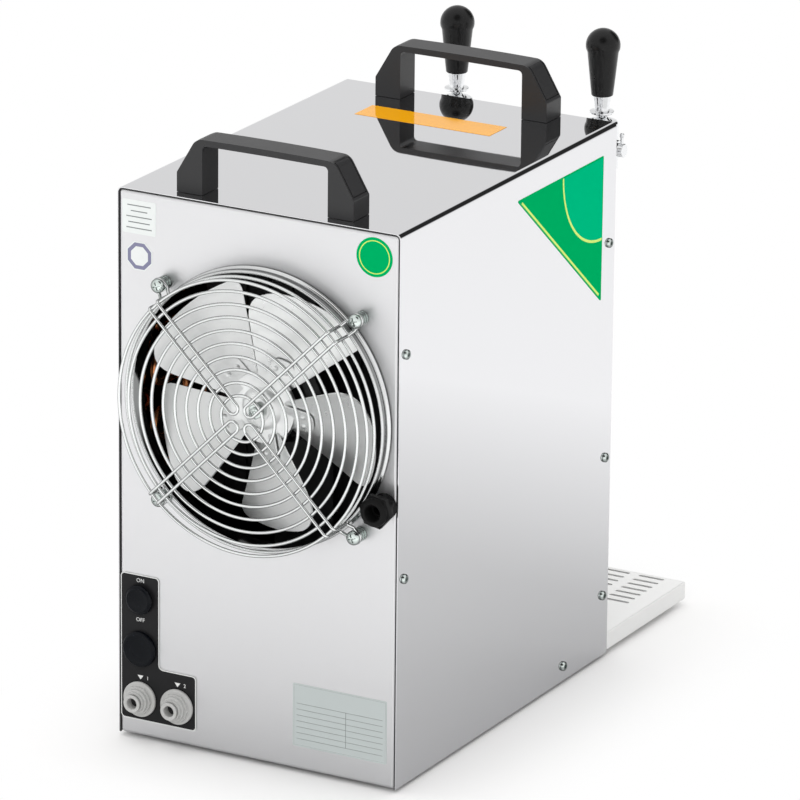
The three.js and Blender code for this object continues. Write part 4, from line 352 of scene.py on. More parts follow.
def black_card(middle, edge, core, label):
    """A mask that is 1 over most of the room and CARD_TONE towards the middle of the card.
    The card begins at `edge` and is fully dark at `core`, both in degrees from its middle."""
    towards = add(room, "ShaderNodeVectorMath", f"towards {label}", operation="DOT_PRODUCT",
                  given={1: Vector(middle).normalized()})
    mask = add(room, "ShaderNodeMapRange", label, clamp=True, given={
        "From Min": math.cos(math.radians(edge)), "From Max": math.cos(math.radians(core)),
        "To Min": 1, "To Max": CARD_TONE,
    })
    chain(
        room,
        (direction.outputs["Generated"], towards.inputs[0]),
        (towards.outputs["Value"], mask.inputs["Value"]),
    )
    return mask.outputs["Result"]


low_card = black_card(LOW_CARD, LOW_EDGE, CORE, "card over the taps")
high_card = black_card(HIGH_CARD, HIGH_EDGE, CORE, "card over the camera")
print("cards", LOW_CARD, HIGH_CARD)

# %% Light the world
DOME_LEVEL = 0.80
ray = add(room, "ShaderNodeLightPath", "kind of ray")
both_cards = add(room, "ShaderNodeMath", "both cards", operation="MULTIPLY")
carded = add(room, "ShaderNodeVectorMath", "room with cards", operation="SCALE")
mirrored = add(room, "ShaderNodeMix", "dome or mirrored room", data_type="RGBA",
               given={"A": (DOME_LEVEL, DOME_LEVEL, DOME_LEVEL, 1)})
seen = add(room, "ShaderNodeMix", "seen by the camera", data_type="RGBA", given={"B": WHITE})
shiny = add(room, "ShaderNodeMath", "glossy or clear", operation="MAXIMUM")
glow = add(room, "ShaderNodeBackground", "glow")
out = add(room, "ShaderNodeOutputWorld", "world")
chain(
    room,
    (direction.outputs["Generated"], height.inputs["Vector"]),
    (height.outputs["Z"], bands.inputs["Fac"]),
    (ray.outputs["Is Glossy Ray"], shiny.inputs[0]),
    (ray.outputs["Is Transmission Ray"], shiny.inputs[1]),
    (shiny.outputs["Value"], mirrored.inputs["Factor"]),
    (low_card, both_cards.inputs[0]),
    (high_card, both_cards.inputs[1]),
    (bands.outputs["Color"], carded.inputs[0]),
    (both_cards.outputs["Value"], carded.inputs["Scale"]),
    (carded.outputs["Vector"], mirrored.inputs["B"]),
    (mirrored.outputs["Result"], seen.inputs["A"]),
    (ray.outputs["Is Camera Ray"], seen.inputs["Factor"]),
    (seen.outputs["Result"], glow.inputs["Color"]),
    (glow.outputs["Background"], out.inputs["Surface"]),
)
print("world nodes", [n.name for n in room.nodes])

# %% Hang the soft lamps
LAMPS = [
    ("key_lamp", (-1.2, 3.6, 2.6), (0, 0, 0.25), 1.8, 26),
    ("fill_lamp", (3.2, 1.2, 2.2), (0, 0, 0.25), 2.2, 13),
    ("top_lamp", (0.3, 0.4, 3.4), (0, 0, 0.5), 2.4, 26),
    ("front_lamp", (-1.5, -3.4, 2.2), (0, 0, 0.25), 2.2, 17),
]


def soft_lamp(name, spot, target, width, power):
    """A wide round lamp that lights the object and shows in no reflection."""
    data = bpy.data.lights.new(name, "AREA")
    data.shape = "DISK"
    data.size = width
    data.energy = power
    lamp = bpy.data.objects.new(name, data)
    turn = (Vector(target) - Vector(spot)).to_track_quat("-Z", "Y").to_matrix().to_4x4()
    lamp.matrix_world = Matrix.Translation(spot) @ turn
    lamp.visible_glossy = False
    bpy.context.scene.collection.objects.link(lamp)


for lamp_values in LAMPS:
    soft_lamp(*lamp_values)
view = bpy.context.scene.view_settings
view.view_transform = "Standard"
print("lamps", [values[0] for values in LAMPS], "view transform", view.view_transform)

# %% [markdown]
# ## Floor
# A pale table top keeps the object's soft shadow. What the camera sees of it turns plain white within
# 15 cm of the cabinet, so the table melts into the background while the shadow at its foot stays. In
# the steel the table looks a little greyer close to the cabinet, as it does in the photo; this grey is
# painted shade, given to the paper's colour for glossy rays only. Neither of the two adds light to the
# object.

# %% Lay the floor
FLOOR_HALF = 12
bm = bmesh.new()
bmesh.ops.create_grid(bm, x_segments=1, y_segments=1, size=FLOOR_HALF)
floor_mesh = bpy.data.meshes.new("studio_floor")
bm.to_mesh(floor_mesh)
bm.free()
floor = bpy.data.objects.new("studio_floor", floor_mesh)
bpy.context.scene.collection.objects.link(floor)
floor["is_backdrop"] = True
print("floor", 2 * FLOOR_HALF, "m wide")

# %% Paint the floor
HALF_FOOTPRINT = (0.144, 0.263, 0)
WHITE_FROM, WHITE_TO = 0.0, 0.15
# How grey the table looks in the steel at the cabinet's foot, and how far the grey reaches: painted shade
# in the reflection.
PAINTED_SHADE_AT_FOOT, PAINTED_SHADE_TO = 0.60, 0.55
SIDEWAYS = (0.33, 1, 1)
PAPER = (0.96, 0.955, 0.95, 1)
paper = bpy.data.materials.new("floor_paper")
paper.use_nodes = True
tree = paper.node_tree
tree.nodes.clear()
place = add(tree, "ShaderNodeTexCoord", "place")
one_quarter = add(tree, "ShaderNodeVectorMath", "one quarter", operation="ABSOLUTE")
past = add(tree, "ShaderNodeVectorMath", "past the footprint", operation="SUBTRACT",
           given={1: HALF_FOOTPRINT})
outside = add(tree, "ShaderNodeVectorMath", "outside only", operation="MAXIMUM", given={1: (0, 0, 0)})
away = add(tree, "ShaderNodeVectorMath", "way to the cabinet", operation="LENGTH")
fade = add(tree, "ShaderNodeMapRange", "white with the way", clamp=True, interpolation_type="SMOOTHSTEP",
           given={"From Min": WHITE_FROM, "From Max": WHITE_TO})
slower = add(tree, "ShaderNodeVectorMath", "slower beside the cabinet", operation="MULTIPLY",
             given={1: SIDEWAYS})
# Glossy rays see the paper darker near the cabinet: painted shade in what the steel reflects of the table.
shade_way = add(tree, "ShaderNodeVectorMath", "way of the painted shade", operation="LENGTH")
shade_near_foot = add(tree, "ShaderNodeMapRange", "painted shade at the foot", clamp=True,
             given={"From Max": PAINTED_SHADE_TO, "To Min": PAINTED_SHADE_AT_FOOT})
path = add(tree, "ShaderNodeLightPath", "kind of ray")
paint = add(tree, "ShaderNodeMix", "paper or its mirror image", data_type="RGBA", given={"A": PAPER})
matt = add(tree, "ShaderNodeBsdfDiffuse", "matt paper")
bright = add(tree, "ShaderNodeEmission", "plain white", given={"Color": WHITE})
share = add(tree, "ShaderNodeMath", "share of white", operation="MULTIPLY")
blend = add(tree, "ShaderNodeMixShader", "paper and white")
surface = add(tree, "ShaderNodeOutputMaterial", "surface")
chain(
    tree,
    (place.outputs["Object"], one_quarter.inputs[0]),
    (one_quarter.outputs["Vector"], past.inputs[0]),
    (past.outputs["Vector"], outside.inputs[0]),
    (outside.outputs["Vector"], away.inputs[0]),
    (away.outputs["Value"], fade.inputs["Value"]),
    (outside.outputs["Vector"], slower.inputs[0]),
    (slower.outputs["Vector"], shade_way.inputs[0]),
    (shade_way.outputs["Value"], shade_near_foot.inputs["Value"]),
    (shade_near_foot.outputs["Result"], paint.inputs["B"]),
    (path.outputs["Is Glossy Ray"], paint.inputs["Factor"]),
    (paint.outputs["Result"], matt.inputs["Color"]),
    (path.outputs["Is Camera Ray"], share.inputs[0]),
    (fade.outputs["Result"], share.inputs[1]),
    (share.outputs["Value"], blend.inputs["Fac"]),
    (matt.outputs["BSDF"], blend.inputs[1]),
    (bright.outputs["Emission"], blend.inputs[2]),
    (blend.outputs["Shader"], surface.inputs["Surface"]),
)
floor_mesh.materials.append(paper)
print("floor paper", len(tree.nodes), "nodes")

# %% [markdown]
# ## Effects that several finishes share
# Real surfaces are never perfectly even. Three small node groups are built once: slow changes of tone
# and gloss, a fine moulded grain for plastic and rubber, and long brush marks for rolled metal. Each
# gives only values that change over the surface; the shader itself stays in the material.

# %% Start a node group
def effect(name, takes, gives):
    """Starts a node group with named sockets, given as pairs of a name and a kind."""
    group = bpy.data.node_groups.new(name, "ShaderNodeTree")
    kinds = {"colour": "NodeSocketColor", "value": "NodeSocketFloat", "vector": "NodeSocketVector"}
    for sockets, way in ((takes, "INPUT"), (gives, "OUTPUT")):
        for label, kind in sockets:
            group.interface.new_socket(name=label, in_out=way, socket_type=kinds[kind])
    return group, add(group, "NodeGroupInput", "takes"), add(group, "NodeGroupOutput", "gives")


# %% Slow changes of tone and gloss
uneven, start, end = effect(
    "uneven tone",
    [("Colour", "colour"), ("Colour change", "value"), ("Size of patches", "value"),
     ("Roughness", "value"), ("Roughness change", "value")],
    [("Colour", "colour"), ("Roughness", "value")],
)
where = add(uneven, "ShaderNodeTexCoord", "place")
patches = add(uneven, "ShaderNodeTexNoise", "patches", given={"Detail": 4})
centred = add(uneven, "ShaderNodeMath", "centred", operation="SUBTRACT", given={1: 0.5})
tone = add(uneven, "ShaderNodeMath", "tone change", operation="MULTIPLY_ADD", given={2: 1})
tinted = add(uneven, "ShaderNodeVectorMath", "tinted", operation="SCALE")
gloss = add(uneven, "ShaderNodeMath", "gloss change", operation="MULTIPLY_ADD")
chain(
    uneven,
    (where.outputs["Object"], patches.inputs["Vector"]),
    (start.outputs["Size of patches"], patches.inputs["Scale"]),
    (patches.outputs["Fac"], centred.inputs[0]),
    (centred.outputs["Value"], tone.inputs[0]),
    (start.outputs["Colour change"], tone.inputs[1]),
    (start.outputs["Colour"], tinted.inputs[0]),
    (tone.outputs["Value"], tinted.inputs["Scale"]),
    (tinted.outputs["Vector"], end.inputs["Colour"]),
    (centred.outputs["Value"], gloss.inputs[0]),
    (start.outputs["Roughness change"], gloss.inputs[1]),
    (start.outputs["Roughness"], gloss.inputs[2]),
    (gloss.outputs["Value"], end.inputs["Roughness"]),
)
print(uneven.name, len(uneven.nodes), "nodes")

# %% Fine moulded grain
moulded, start, end = effect(
    "moulded grain", [("Size", "value"), ("Depth", "value")], [("Height", "value")],
)
where = add(moulded, "ShaderNodeTexCoord", "place")
pits = add(moulded, "ShaderNodeTexNoise", "pits", given={"Detail": 3})
deep = add(moulded, "ShaderNodeMath", "depth", operation="MULTIPLY")
chain(
    moulded,
    (where.outputs["Object"], pits.inputs["Vector"]),
    (start.outputs["Size"], pits.inputs["Scale"]),
    (pits.outputs["Fac"], deep.inputs[0]),
    (start.outputs["Depth"], deep.inputs[1]),
    (deep.outputs["Value"], end.inputs["Height"]),
)
print(moulded.name, len(moulded.nodes), "nodes")

# %% Long brush marks
brushed, start, end = effect(
    "brush marks",
    [("Stretch", "vector"), ("Depth", "value"), ("Roughness", "value"), ("Roughness change", "value")],
    [("Height", "value"), ("Roughness", "value")],
)
where = add(brushed, "ShaderNodeTexCoord", "place")
pulled = add(brushed, "ShaderNodeVectorMath", "pulled out", operation="MULTIPLY")
marks = add(brushed, "ShaderNodeTexNoise", "marks", given={"Scale": 1, "Detail": 4})
deep = add(brushed, "ShaderNodeMath", "depth", operation="MULTIPLY")
off_middle = add(brushed, "ShaderNodeMath", "centred", operation="SUBTRACT", given={1: 0.5})
gloss = add(brushed, "ShaderNodeMath", "gloss change", operation="MULTIPLY_ADD")
chain(
    brushed,
    (where.outputs["Object"], pulled.inputs[0]),
    (start.outputs["Stretch"], pulled.inputs[1]),
    (pulled.outputs["Vector"], marks.inputs["Vector"]),
    (marks.outputs["Fac"], deep.inputs[0]),
    (start.outputs["Depth"], deep.inputs[1]),
    (deep.outputs["Value"], end.inputs["Height"]),
    (marks.outputs["Fac"], off_middle.inputs[0]),
    (off_middle.outputs["Value"], gloss.inputs[0]),
    (start.outputs["Roughness change"], gloss.inputs[1]),
    (start.outputs["Roughness"], gloss.inputs[2]),
    (gloss.outputs["Value"], end.inputs["Roughness"]),
)
print(brushed.name, len(brushed.nodes), "nodes")

# %% [markdown]
# ## Finishes
# `finish_of` makes one material: a Principled shader, the slow tone group on its colour and
# roughness, and, where asked, grain or brush marks through a Bump node. Round plated wire, screws and
# the fan collar get a painted dark rim by Layer Weight: their colour is darkened where the surface
# turns away from the eye, as painted shade for the dark reflections that round metal shows there.
# Constant values, such as how metallic a surface is, stand directly on the shader. A finish without a
# name of its own below is for the parts inside, which find it in FINISHES.

# %% Paint a dark rim on a colour: painted shade
PAINTED_RIM_FROM, PAINTED_RIM_TO = 0.12, 0.62


def dark_rim(tree, colour, rim):
    """Darkens a colour down to the share `rim` where the surface turns away from the eye.
    This is painted shade: it stands for the dark reflections that round metal shows at its rim.
    """
    turned_away = add(tree, "ShaderNodeLayerWeight", "turned away")
    darker = add(tree, "ShaderNodeMapRange", "painted shade at the rim", clamp=True, given={
        "From Min": PAINTED_RIM_FROM, "From Max": PAINTED_RIM_TO, "To Min": 1, "To Max": rim,
    })
    painted_rim_colour = add(tree, "ShaderNodeVectorMath", "painted rim colour", operation="SCALE")
    chain(
        tree,
        (turned_away.outputs["Facing"], darker.inputs["Value"]),
        (colour, painted_rim_colour.inputs[0]),
        (darker.outputs["Result"], painted_rim_colour.inputs["Scale"]),
    )
    return painted_rim_colour.outputs["Vector"]


# %% Build a material
RELIEF_HEIGHT = 0.0004
FINISHES = {}


def finish_of(
    name, colour, rough, metal=0.0, tone=0.06, patch=18.0, spread=0.06,
    grain=None, brush=None, bump=0.25, specular=0.5, rim=None,
):
    """Makes one material. `tone` and `spread` are how far colour and roughness wander."""
    material = bpy.data.materials.new(name)
    FINISHES[name] = material
    material.use_nodes = True
    tree = material.node_tree
    shader = tree.nodes["Principled BSDF"]
    shader.inputs["Metallic"].default_value = metal
    shader.inputs["Specular IOR Level"].default_value = specular
    slow = add(tree, "ShaderNodeGroup", "uneven tone", node_tree=uneven, given={
        "Colour": (*colour, 1), "Colour change": tone, "Size of patches": patch,
        "Roughness": rough, "Roughness change": spread,
    })
    tinted_by = slow.outputs["Colour"]
    # `rim` paints a dark rim on the colour: painted shade for the dark reflections of round metal.
    if rim is not None:
        tinted_by = dark_rim(tree, tinted_by, rim)
    relief = None
    roughness = slow.outputs["Roughness"]
    if grain:
        size, depth = grain
        relief = add(tree, "ShaderNodeGroup", "moulded grain", node_tree=moulded,
                     given={"Size": size, "Depth": depth})
    if brush:
        relief = add(tree, "ShaderNodeGroup", "brush marks", node_tree=brushed,
                     given={"Stretch": brush, "Depth": 1, "Roughness change": spread})
        tree.links.new(roughness, relief.inputs["Roughness"])
        roughness = relief.outputs["Roughness"]
    chain(
        tree,
        (tinted_by, shader.inputs["Base Color"]),
        (roughness, shader.inputs["Roughness"]),
    )
    if relief:
        bumps = add(tree, "ShaderNodeBump", "bumps", given={"Strength": bump, "Distance": RELIEF_HEIGHT})
        chain(
            tree,
            (relief.outputs["Height"], bumps.inputs["Height"]),
            (bumps.outputs["Normal"], shader.inputs["Normal"]),
        )
    return material


# %% Metals
# rim= on zinc_steel, collar_steel and chromed_wire gives them a painted dark rim: shade for dark
# reflections.
satin_steel = finish_of(
    "satin_steel", (0.79, 0.79, 0.80), 0.40, metal=1, tone=0.02, patch=5, spread=0.05,
    brush=(900, 900, 14), bump=0.03,
)
tray_steel = finish_of(
    "tray_steel", (0.92, 0.92, 0.91), 0.38, metal=0.35, tone=0.02, patch=8, spread=0.08,
    brush=(14, 900, 900), bump=0.03,
)
mirror_steel = finish_of(
    "mirror_steel", (0.78, 0.78, 0.795), 0.025, metal=1, tone=0.015, patch=4, spread=0.03,
)
zinc_steel = finish_of(
    "zinc_steel", (0.76, 0.83, 0.80), 0.12, metal=1, tone=0.16, patch=90, spread=0.10,
    grain=(900, 0.6), bump=0.05, rim=0.16,
)
collar_steel = finish_of(
    "collar_steel", (0.80, 0.81, 0.81), 0.10, metal=1, tone=0.04, patch=30, spread=0.08, rim=0.30,
)
chromed_wire = finish_of("chromed_wire", (0.90, 0.92, 0.915), 0.10, metal=1, tone=0.05, patch=60, rim=0.26)
chrome_brass = finish_of("chrome_brass", (0.83, 0.84, 0.85), 0.05, metal=1, tone=0.03, patch=40)
blade_aluminium = finish_of(
    "blade_aluminium", (0.97, 0.98, 0.975), 0.30, metal=0.95, tone=0.05, patch=9, spread=0.10,
    brush=(120, 120, 14), bump=0.04,
)
copper_tube = finish_of("copper_tube", (0.86, 0.33, 0.13), 0.25, metal=1, tone=0.35, patch=45)
# A dark steel finish that is painted shade: it darkens the collar's rolled foot and the motor's stand.
painted_shade_steel = finish_of(
    "painted_shade_steel", (0.035, 0.036, 0.037), 0.45, metal=0.4, tone=0.3, grain=(500, 0.8),
)
finish_of("core_aluminium", (0.62, 0.63, 0.64), 0.45, metal=1, grain=(300, 1))
print("metals", list(FINISHES))

# %% Paints, plastics and rubber
finish_of("black_paint", (0.012, 0.012, 0.013), 0.38, tone=0.3, grain=(400, 0.7))
finish_of("black_fins", (0.006, 0.006, 0.007), 0.6, tone=0.4, grain=(500, 1))
finish_of("black_foam", (0.016, 0.016, 0.017), 0.92, tone=0.4, grain=(220, 2.5), bump=0.6)
black_plastic = finish_of(
    "black_plastic", (0.018, 0.018, 0.019), 0.43, tone=0.12, patch=30, grain=(1500, 1), bump=0.22,
)
gland_black = finish_of(
    "gland_black", (0.007, 0.007, 0.007), 0.42, tone=0.12, grain=(1500, 1), specular=0.12,
)
gloss_black = finish_of("gloss_black", (0.003, 0.004, 0.006), 0.16, tone=0.2, patch=25, specular=0.14)
knob_black = finish_of("knob_black", (0.006, 0.006, 0.006), 0.27, tone=0.2, patch=25, specular=0.30)
black_rubber = finish_of("black_rubber", (0.020, 0.020, 0.021), 0.75, grain=(700, 1.5), bump=0.4)
grey_nylon = finish_of("grey_nylon", (0.50, 0.50, 0.49), 0.38, tone=0.08, grain=(900, 0.6), bump=0.12)
plate_film = finish_of("plate_film", (0.015, 0.015, 0.016), 0.34, tone=0.08, specular=0.15)
print("all dark and metal finishes", len(FINISHES))

# %% Printed colours
sticker_orange = finish_of("sticker_orange", (0.93, 0.41, 0.002), 0.07, tone=0.04)
sticker_green = finish_of("sticker_green", (0.0, 0.42, 0.125), 0.30, tone=0.04, specular=0)
sticker_fresh = finish_of("sticker_fresh", (0.0, 0.50, 0.22), 0.30, tone=0.04, specular=0)
sticker_lime = finish_of("sticker_lime", (0.66, 0.90, 0.16), 0.30, tone=0.03, specular=0.2)
sticker_mint = finish_of("sticker_mint", (0.50, 0.545, 0.54), 0.36, tone=0.04)
sticker_pale = finish_of("sticker_pale", (0.84, 0.87, 0.86), 0.34, tone=0.03)
sticker_violet = finish_of("sticker_violet", (0.22, 0.22, 0.34), 0.34, tone=0.05)
ink_grey = finish_of("ink_grey", (0.20, 0.22, 0.22), 0.45, tone=0.05)
ink_white = finish_of("ink_white", (0.78, 0.79, 0.78), 0.45, tone=0.03)
print("all finishes", len(FINISHES))

# %% [markdown]
# ## The wrap cover
# One sheet is folded over the top and down both sides. A block keeps only its top and its sides, the
# two top edges are bevelled into the fold, and Solidify gives the sheet its thickness. The cut edges
# get a tiny bevel, because a bare edge of polished sheet always shows a bright line.

# %% Fold the wrap cover
FOLD_RADIUS = 0.005
EDGE_LINE = 0.00025
bm = bmesh.new()
block(bm, cover_low, cover_high)
open_sides = [f for f in bm.faces if abs(f.normal.y) > 0.5 or f.normal.z < -0.5]
fold_sheet(bm, open_sides, FOLD_RADIUS, 8)
soften(bm, EDGE_LINE, least=60)
settle(bm, "wrap_cover_sheet", [mirror_steel], stands_for=["wrap_cover"], slot="mirror_steel", sharp=30)

# %% [markdown]
# ## Front and rear panels
# Each panel is a shallow tray of sheet metal that slides inside the cover: a flat face, edges rolled
# back with a small radius, and a flange behind them. The dark seam in the picture is the gap between
# that rolled edge and the cover; a thin black strip laid in it is painted shade of that gap. The holes
# are cut with a Boolean, because they come out round whatever they cross.

# %% Roll a panel and punch its holes
FLANGE = 0.018
ROLL_RADIUS = 0.0035
PUNCH_START, PUNCH_LENGTH = 0.004, 0.009
FINE_SIDES, WIDE_SIDES, WIDE_HOLE = 40, 96, 0.05


def panel(name, node, outward, holes, slots=()):
    """Holes are x, z and radius, and slots are two corners each. `outward` is 1 or -1 along Y."""
    low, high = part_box(node)
    face_y = high.y if outward > 0 else low.y
    back_y = face_y - outward * FLANGE
    bm = bmesh.new()
    block(bm, (low.x, min(face_y, back_y), low.z), (high.x, max(face_y, back_y), high.z))
    fold_sheet(bm, [f for f in bm.faces if f.normal.y * outward < -0.5], ROLL_RADIUS, 6)
    punch = bmesh.new()
    for x, z, radius in holes:
        start = Vector((x, face_y + outward * PUNCH_START, z))
        sides = WIDE_SIDES if radius > WIDE_HOLE else FINE_SIDES
        prism(punch, radius, sides, start, Vector((0, -outward, 0)), PUNCH_LENGTH)
    for slot_low, slot_high in slots:
        block(punch, slot_low, slot_high)
    settle(carve(bm, punch), name, [satin_steel], stands_for=[node], slot="satin_steel", sharp=30)


# %% Punch the rear panel
button_centre = Vector((0.120, REAR, 0.136))
port_centre = Vector((0.120, REAR, 0.0885))
inlet_centres = [Vector((0.120, REAR, 0.0403)), Vector((0.0812, REAR, 0.0403))]
gland_centre = Vector((-0.1305, REAR, 0.26927))
FAN_HOLE, BUTTON_HOLE, PORT_HOLE, GLAND_HOLE, INLET_HOLE = 0.1278, 0.0085, 0.0073, 0.0073, 0.0093
rear_holes = [
    (FAN.x, FAN.z, FAN_HOLE), (button_centre.x, button_centre.z, BUTTON_HOLE),
    (port_centre.x, port_centre.z, PORT_HOLE), (gland_centre.x, gland_centre.z, GLAND_HOLE),
    *[(c.x, c.z, INLET_HOLE) for c in inlet_centres],
]
panel("rear_panel_sheet", "rear_panel", 1, rear_holes)

# %% Lay the black strips that paint the shade in the seams
SEAM_DEPTH, SEAM_RADIUS, SEAM_INSET, SEAM_CORNER = 0.0009, 0.0010, 0.0012, 0.0045


def seam_strip(name, outward):
    """A thin black strip along both sides and the top, in the gap round a panel: painted shade of the gap.
    """
    y = (REAR if outward > 0 else FRONT) - outward * SEAM_DEPTH
    half, top = HALF_WIDTH - SEAM_INSET, TOP - SEAM_INSET
    foot, peak = Vector((-half, y, BOTTOM)), Vector((-half, y, top))
    one_side = [foot, *corner(peak, foot, Vector((half, y, top)), SEAM_CORNER, 8)]
    other_side = [Vector((-p.x, p.y, p.z)) for p in reversed(one_side)]
    bm = bmesh.new()
    tube(bm, one_side + other_side, SEAM_RADIUS)
    settle(bm, name, [black_rubber], slot="black_rubber")


# The strips paint the shade in the seams round both panels.
seam_strip("rear_seam_shade", 1)
seam_strip("front_seam_shade", -1)

# %% Punch the front panel
TAP_SPREAD, SHANK_HEIGHT, SHANK_HOLE, DIAL_HOLE = 0.077, 0.456, 0.0093, 0.005
TONGUE_SPREAD, TONGUE_HALF, TONGUE_FOOT, TONGUE_HEAD = 0.112, 0.0103, 0.0143, 0.0179
SLOT_OUT, SLOT_IN = 0.004, 0.005
dial_low, dial_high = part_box("thermostat_dial")
dial_centre = (dial_low + dial_high) / 2
front_holes = [(side * TAP_SPREAD, SHANK_HEIGHT, SHANK_HOLE) for side in (-1, 1)]
front_holes.append((dial_centre.x, dial_centre.z, DIAL_HOLE))
tongue_slots = [
    (
        (side * TONGUE_SPREAD - TONGUE_HALF, FRONT - SLOT_OUT, TONGUE_FOOT),
        (side * TONGUE_SPREAD + TONGUE_HALF, FRONT + SLOT_IN, TONGUE_HEAD),
    )
    for side in (-1, 1)
]
panel("front_panel_sheet", "front_panel", -1, front_holes, tongue_slots)

# %% [markdown]
# ## Screws in the sides
# Small round-headed screws hold the cover. Each head is turned on a lathe: a profile of a few points
# spun round the screw's axis, with a flat bottom in a hexagonal socket. Inside the cover every row of
# screws ends in a strip of thick steel with the threads.

# %% Turn the side screws
SCREW_ROWS = {
    "rear": [(0.25312, 0.200), (0.25312, 0.408)],
    "front": [(-0.12988, 0.064), (-0.12988, 0.200), (-0.12988, 0.408), (-0.05338, 0.0185)],
}
HEAD_RADIUS, KEY_RADIUS, SHANK_RADIUS, SHANK_OVERLAP = 0.0045, 0.0021, 0.002, 0.0005
STRIP_INNER, STRIP_OUTER, STRIP_WIDTH = 0.1365, 0.1405, 0.010


def socket_screw(bm, seat, axis, height):
    """A round head with a hexagonal socket."""
    turned(
        bm,
        [(KEY_RADIUS * 0.87, height * 0.96), (HEAD_RADIUS * 0.72, height),
         (HEAD_RADIUS * 0.93, height * 0.72), (HEAD_RADIUS, height * 0.35), (HEAD_RADIUS, 0), (0, 0)],
        seat, axis, steps=32,
    )
    socket = prism(bm, KEY_RADIUS, 6, seat + axis * height * 0.97, -axis, height * 0.6)
    ends = [f for f in {f for v in socket for f in v.link_faces} if abs(f.normal.dot(axis)) > 0.5]
    mouth = max(ends, key=lambda f: f.calc_center_median().dot(axis))
    bmesh.ops.delete(bm, geom=[mouth], context="FACES")


for side, word in ((1, "left"), (-1, "right")):
    for end_word, spots in SCREW_ROWS.items():
        node = f"side_screws_{end_word}_{word}"
        low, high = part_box(node)
        head = abs(high.x if side > 0 else low.x) - HALF_WIDTH - SEAT_GAP
        bm = bmesh.new()
        for y, z in spots:
            seat = Vector((side * (HALF_WIDTH + SEAT_GAP), y, z))
            socket_screw(bm, seat, SIDE * side, head)
            shank = HALF_WIDTH + SEAT_GAP - STRIP_OUTER
            prism(bm, SHANK_RADIUS, 16, seat, SIDE * -side, shank + SHANK_OVERLAP)
        x = side * STRIP_INNER
        strip = [Vector((x, low.y, high.z)), Vector((x, low.y, low.z))]
        if high.y - low.y > 2 * STRIP_WIDTH:
            strip += [Vector((x, high.y, low.z)), Vector((x, high.y, low.z + STRIP_WIDTH)),
                      Vector((x, low.y + STRIP_WIDTH, low.z + STRIP_WIDTH))]
        else:
            strip.append(Vector((x, low.y + STRIP_WIDTH, low.z)))
        strip.append(Vector((x, low.y + STRIP_WIDTH, high.z)))
        slab(bm, strip, SIDE * side * (STRIP_OUTER - STRIP_INNER))
        settle(bm, f"{node}_set", [zinc_steel], stands_for=[node], slot="zinc_steel")

# %% [markdown]
# ## Carrying handles
# Two stout plastic handles stand on the top. Each is one outline pushed through its depth: a straight
# foot, a slanted shoulder, a rounded corner and a crown that rises slightly in the middle. The
# moulding has a fine groove round each shoulder, where a cover cap closes the screw hole.

# %% Draw the outline of a handle
FOOT_HALF, CROWN_HALF = 0.0895, 0.070
SHOULDER_FOOT, CROWN_EDGE, CROWN_TOP = 0.018, 0.051, 0.0518
LEG, OPENING, OPENING_ARCH = 0.026, 0.0455, 0.0003
SHOULDER_BEND, CROWN_BEND, OPENING_BEND = 0.003, 0.012, 0.004


def both_sides(half, middle):
    """Mirrors one half of an outline across X, with one point in the middle."""
    return [*half, middle, *[Vector((-p.x, p.y, p.z)) for p in reversed(half)]]


def handle_outline(base):
    """The handle from the front: once round the outside and back round the opening."""
    foot = base + Vector((FOOT_HALF, 0, 0))
    shoulder = base + Vector((FOOT_HALF, 0, SHOULDER_FOOT))
    crown = base + Vector((CROWN_HALF, 0, CROWN_EDGE))
    quarter = base + Vector((CROWN_HALF / 2, 0, (CROWN_EDGE + 3 * CROWN_TOP) / 4))
    inner_foot = base + Vector((FOOT_HALF - LEG, 0, 0))
    inner_corner = inner_foot + Vector((0, 0, OPENING))
    inner_top = base + Vector((0, 0, OPENING + OPENING_ARCH))
    outside = [foot, *corner(shoulder, foot, crown, SHOULDER_BEND, 3)]
    outside += [*corner(crown, shoulder, quarter, CROWN_BEND, 8), quarter]
    inside = [inner_foot, *corner(inner_corner, inner_foot, inner_top, OPENING_BEND, 5)]
    return both_sides(outside, base + Vector((0, 0, CROWN_TOP))) + both_sides(inside, inner_top)[::-1]


# %% Mould the handles
GROOVE_INSET, GROOVE_WIDTH, GROOVE_SLOPE, GROOVE_DEPTH = 0.0020, 0.0011, 0.0001, 0.0012
HANDLE_EDGE = 0.0016


def groove_shoulders(bm, base):
    """Presses a fine groove all round into the faces of each shoulder."""
    pads = {-1: [], 1: []}
    for f in bm.faces:
        spot = f.calc_center_median()
        way = math.copysign(1, spot.x)
        high_enough = spot.z - base.z > SHOULDER_FOOT + 0.001
        if high_enough and abs(f.normal.y) < 0.1 and f.normal.x * way > 0.25 and f.normal.z > 0.1:
            pads[int(way)].append(f)
    for faces in pads.values():
        bmesh.ops.inset_region(bm, faces=faces, thickness=GROOVE_INSET, use_even_offset=True)
        ring = bmesh.ops.inset_region(bm, faces=faces, thickness=GROOVE_WIDTH, use_even_offset=True)
        bmesh.ops.inset_region(bm, faces=ring["faces"], thickness=GROOVE_SLOPE, depth=-GROOVE_DEPTH)


for word in ("rear", "front"):
    low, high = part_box(f"handle_{word}")
    base = Vector((0, low.y, low.z))
    bm = bmesh.new()
    slab(bm, handle_outline(base), Vector((0, high.y - low.y, 0)))
    bm.normal_update()
    groove_shoulders(bm, base)
    soften(bm, HANDLE_EDGE, segments=3, least=50, edges=[
        e for e in bm.edges if e.is_manifold and e.calc_length() > 0.001
        and any(abs(f.normal.y) > 0.9 for f in e.link_faces)
        and all(abs(f.normal.y) < 0.1 or abs(f.normal.y) > 0.9 for f in e.link_faces)
    ])
    settle(bm, f"handle_{word}_moulding", [black_plastic], stands_for=[f"handle_{word}"],
           slot="black_plastic", sharp=40)
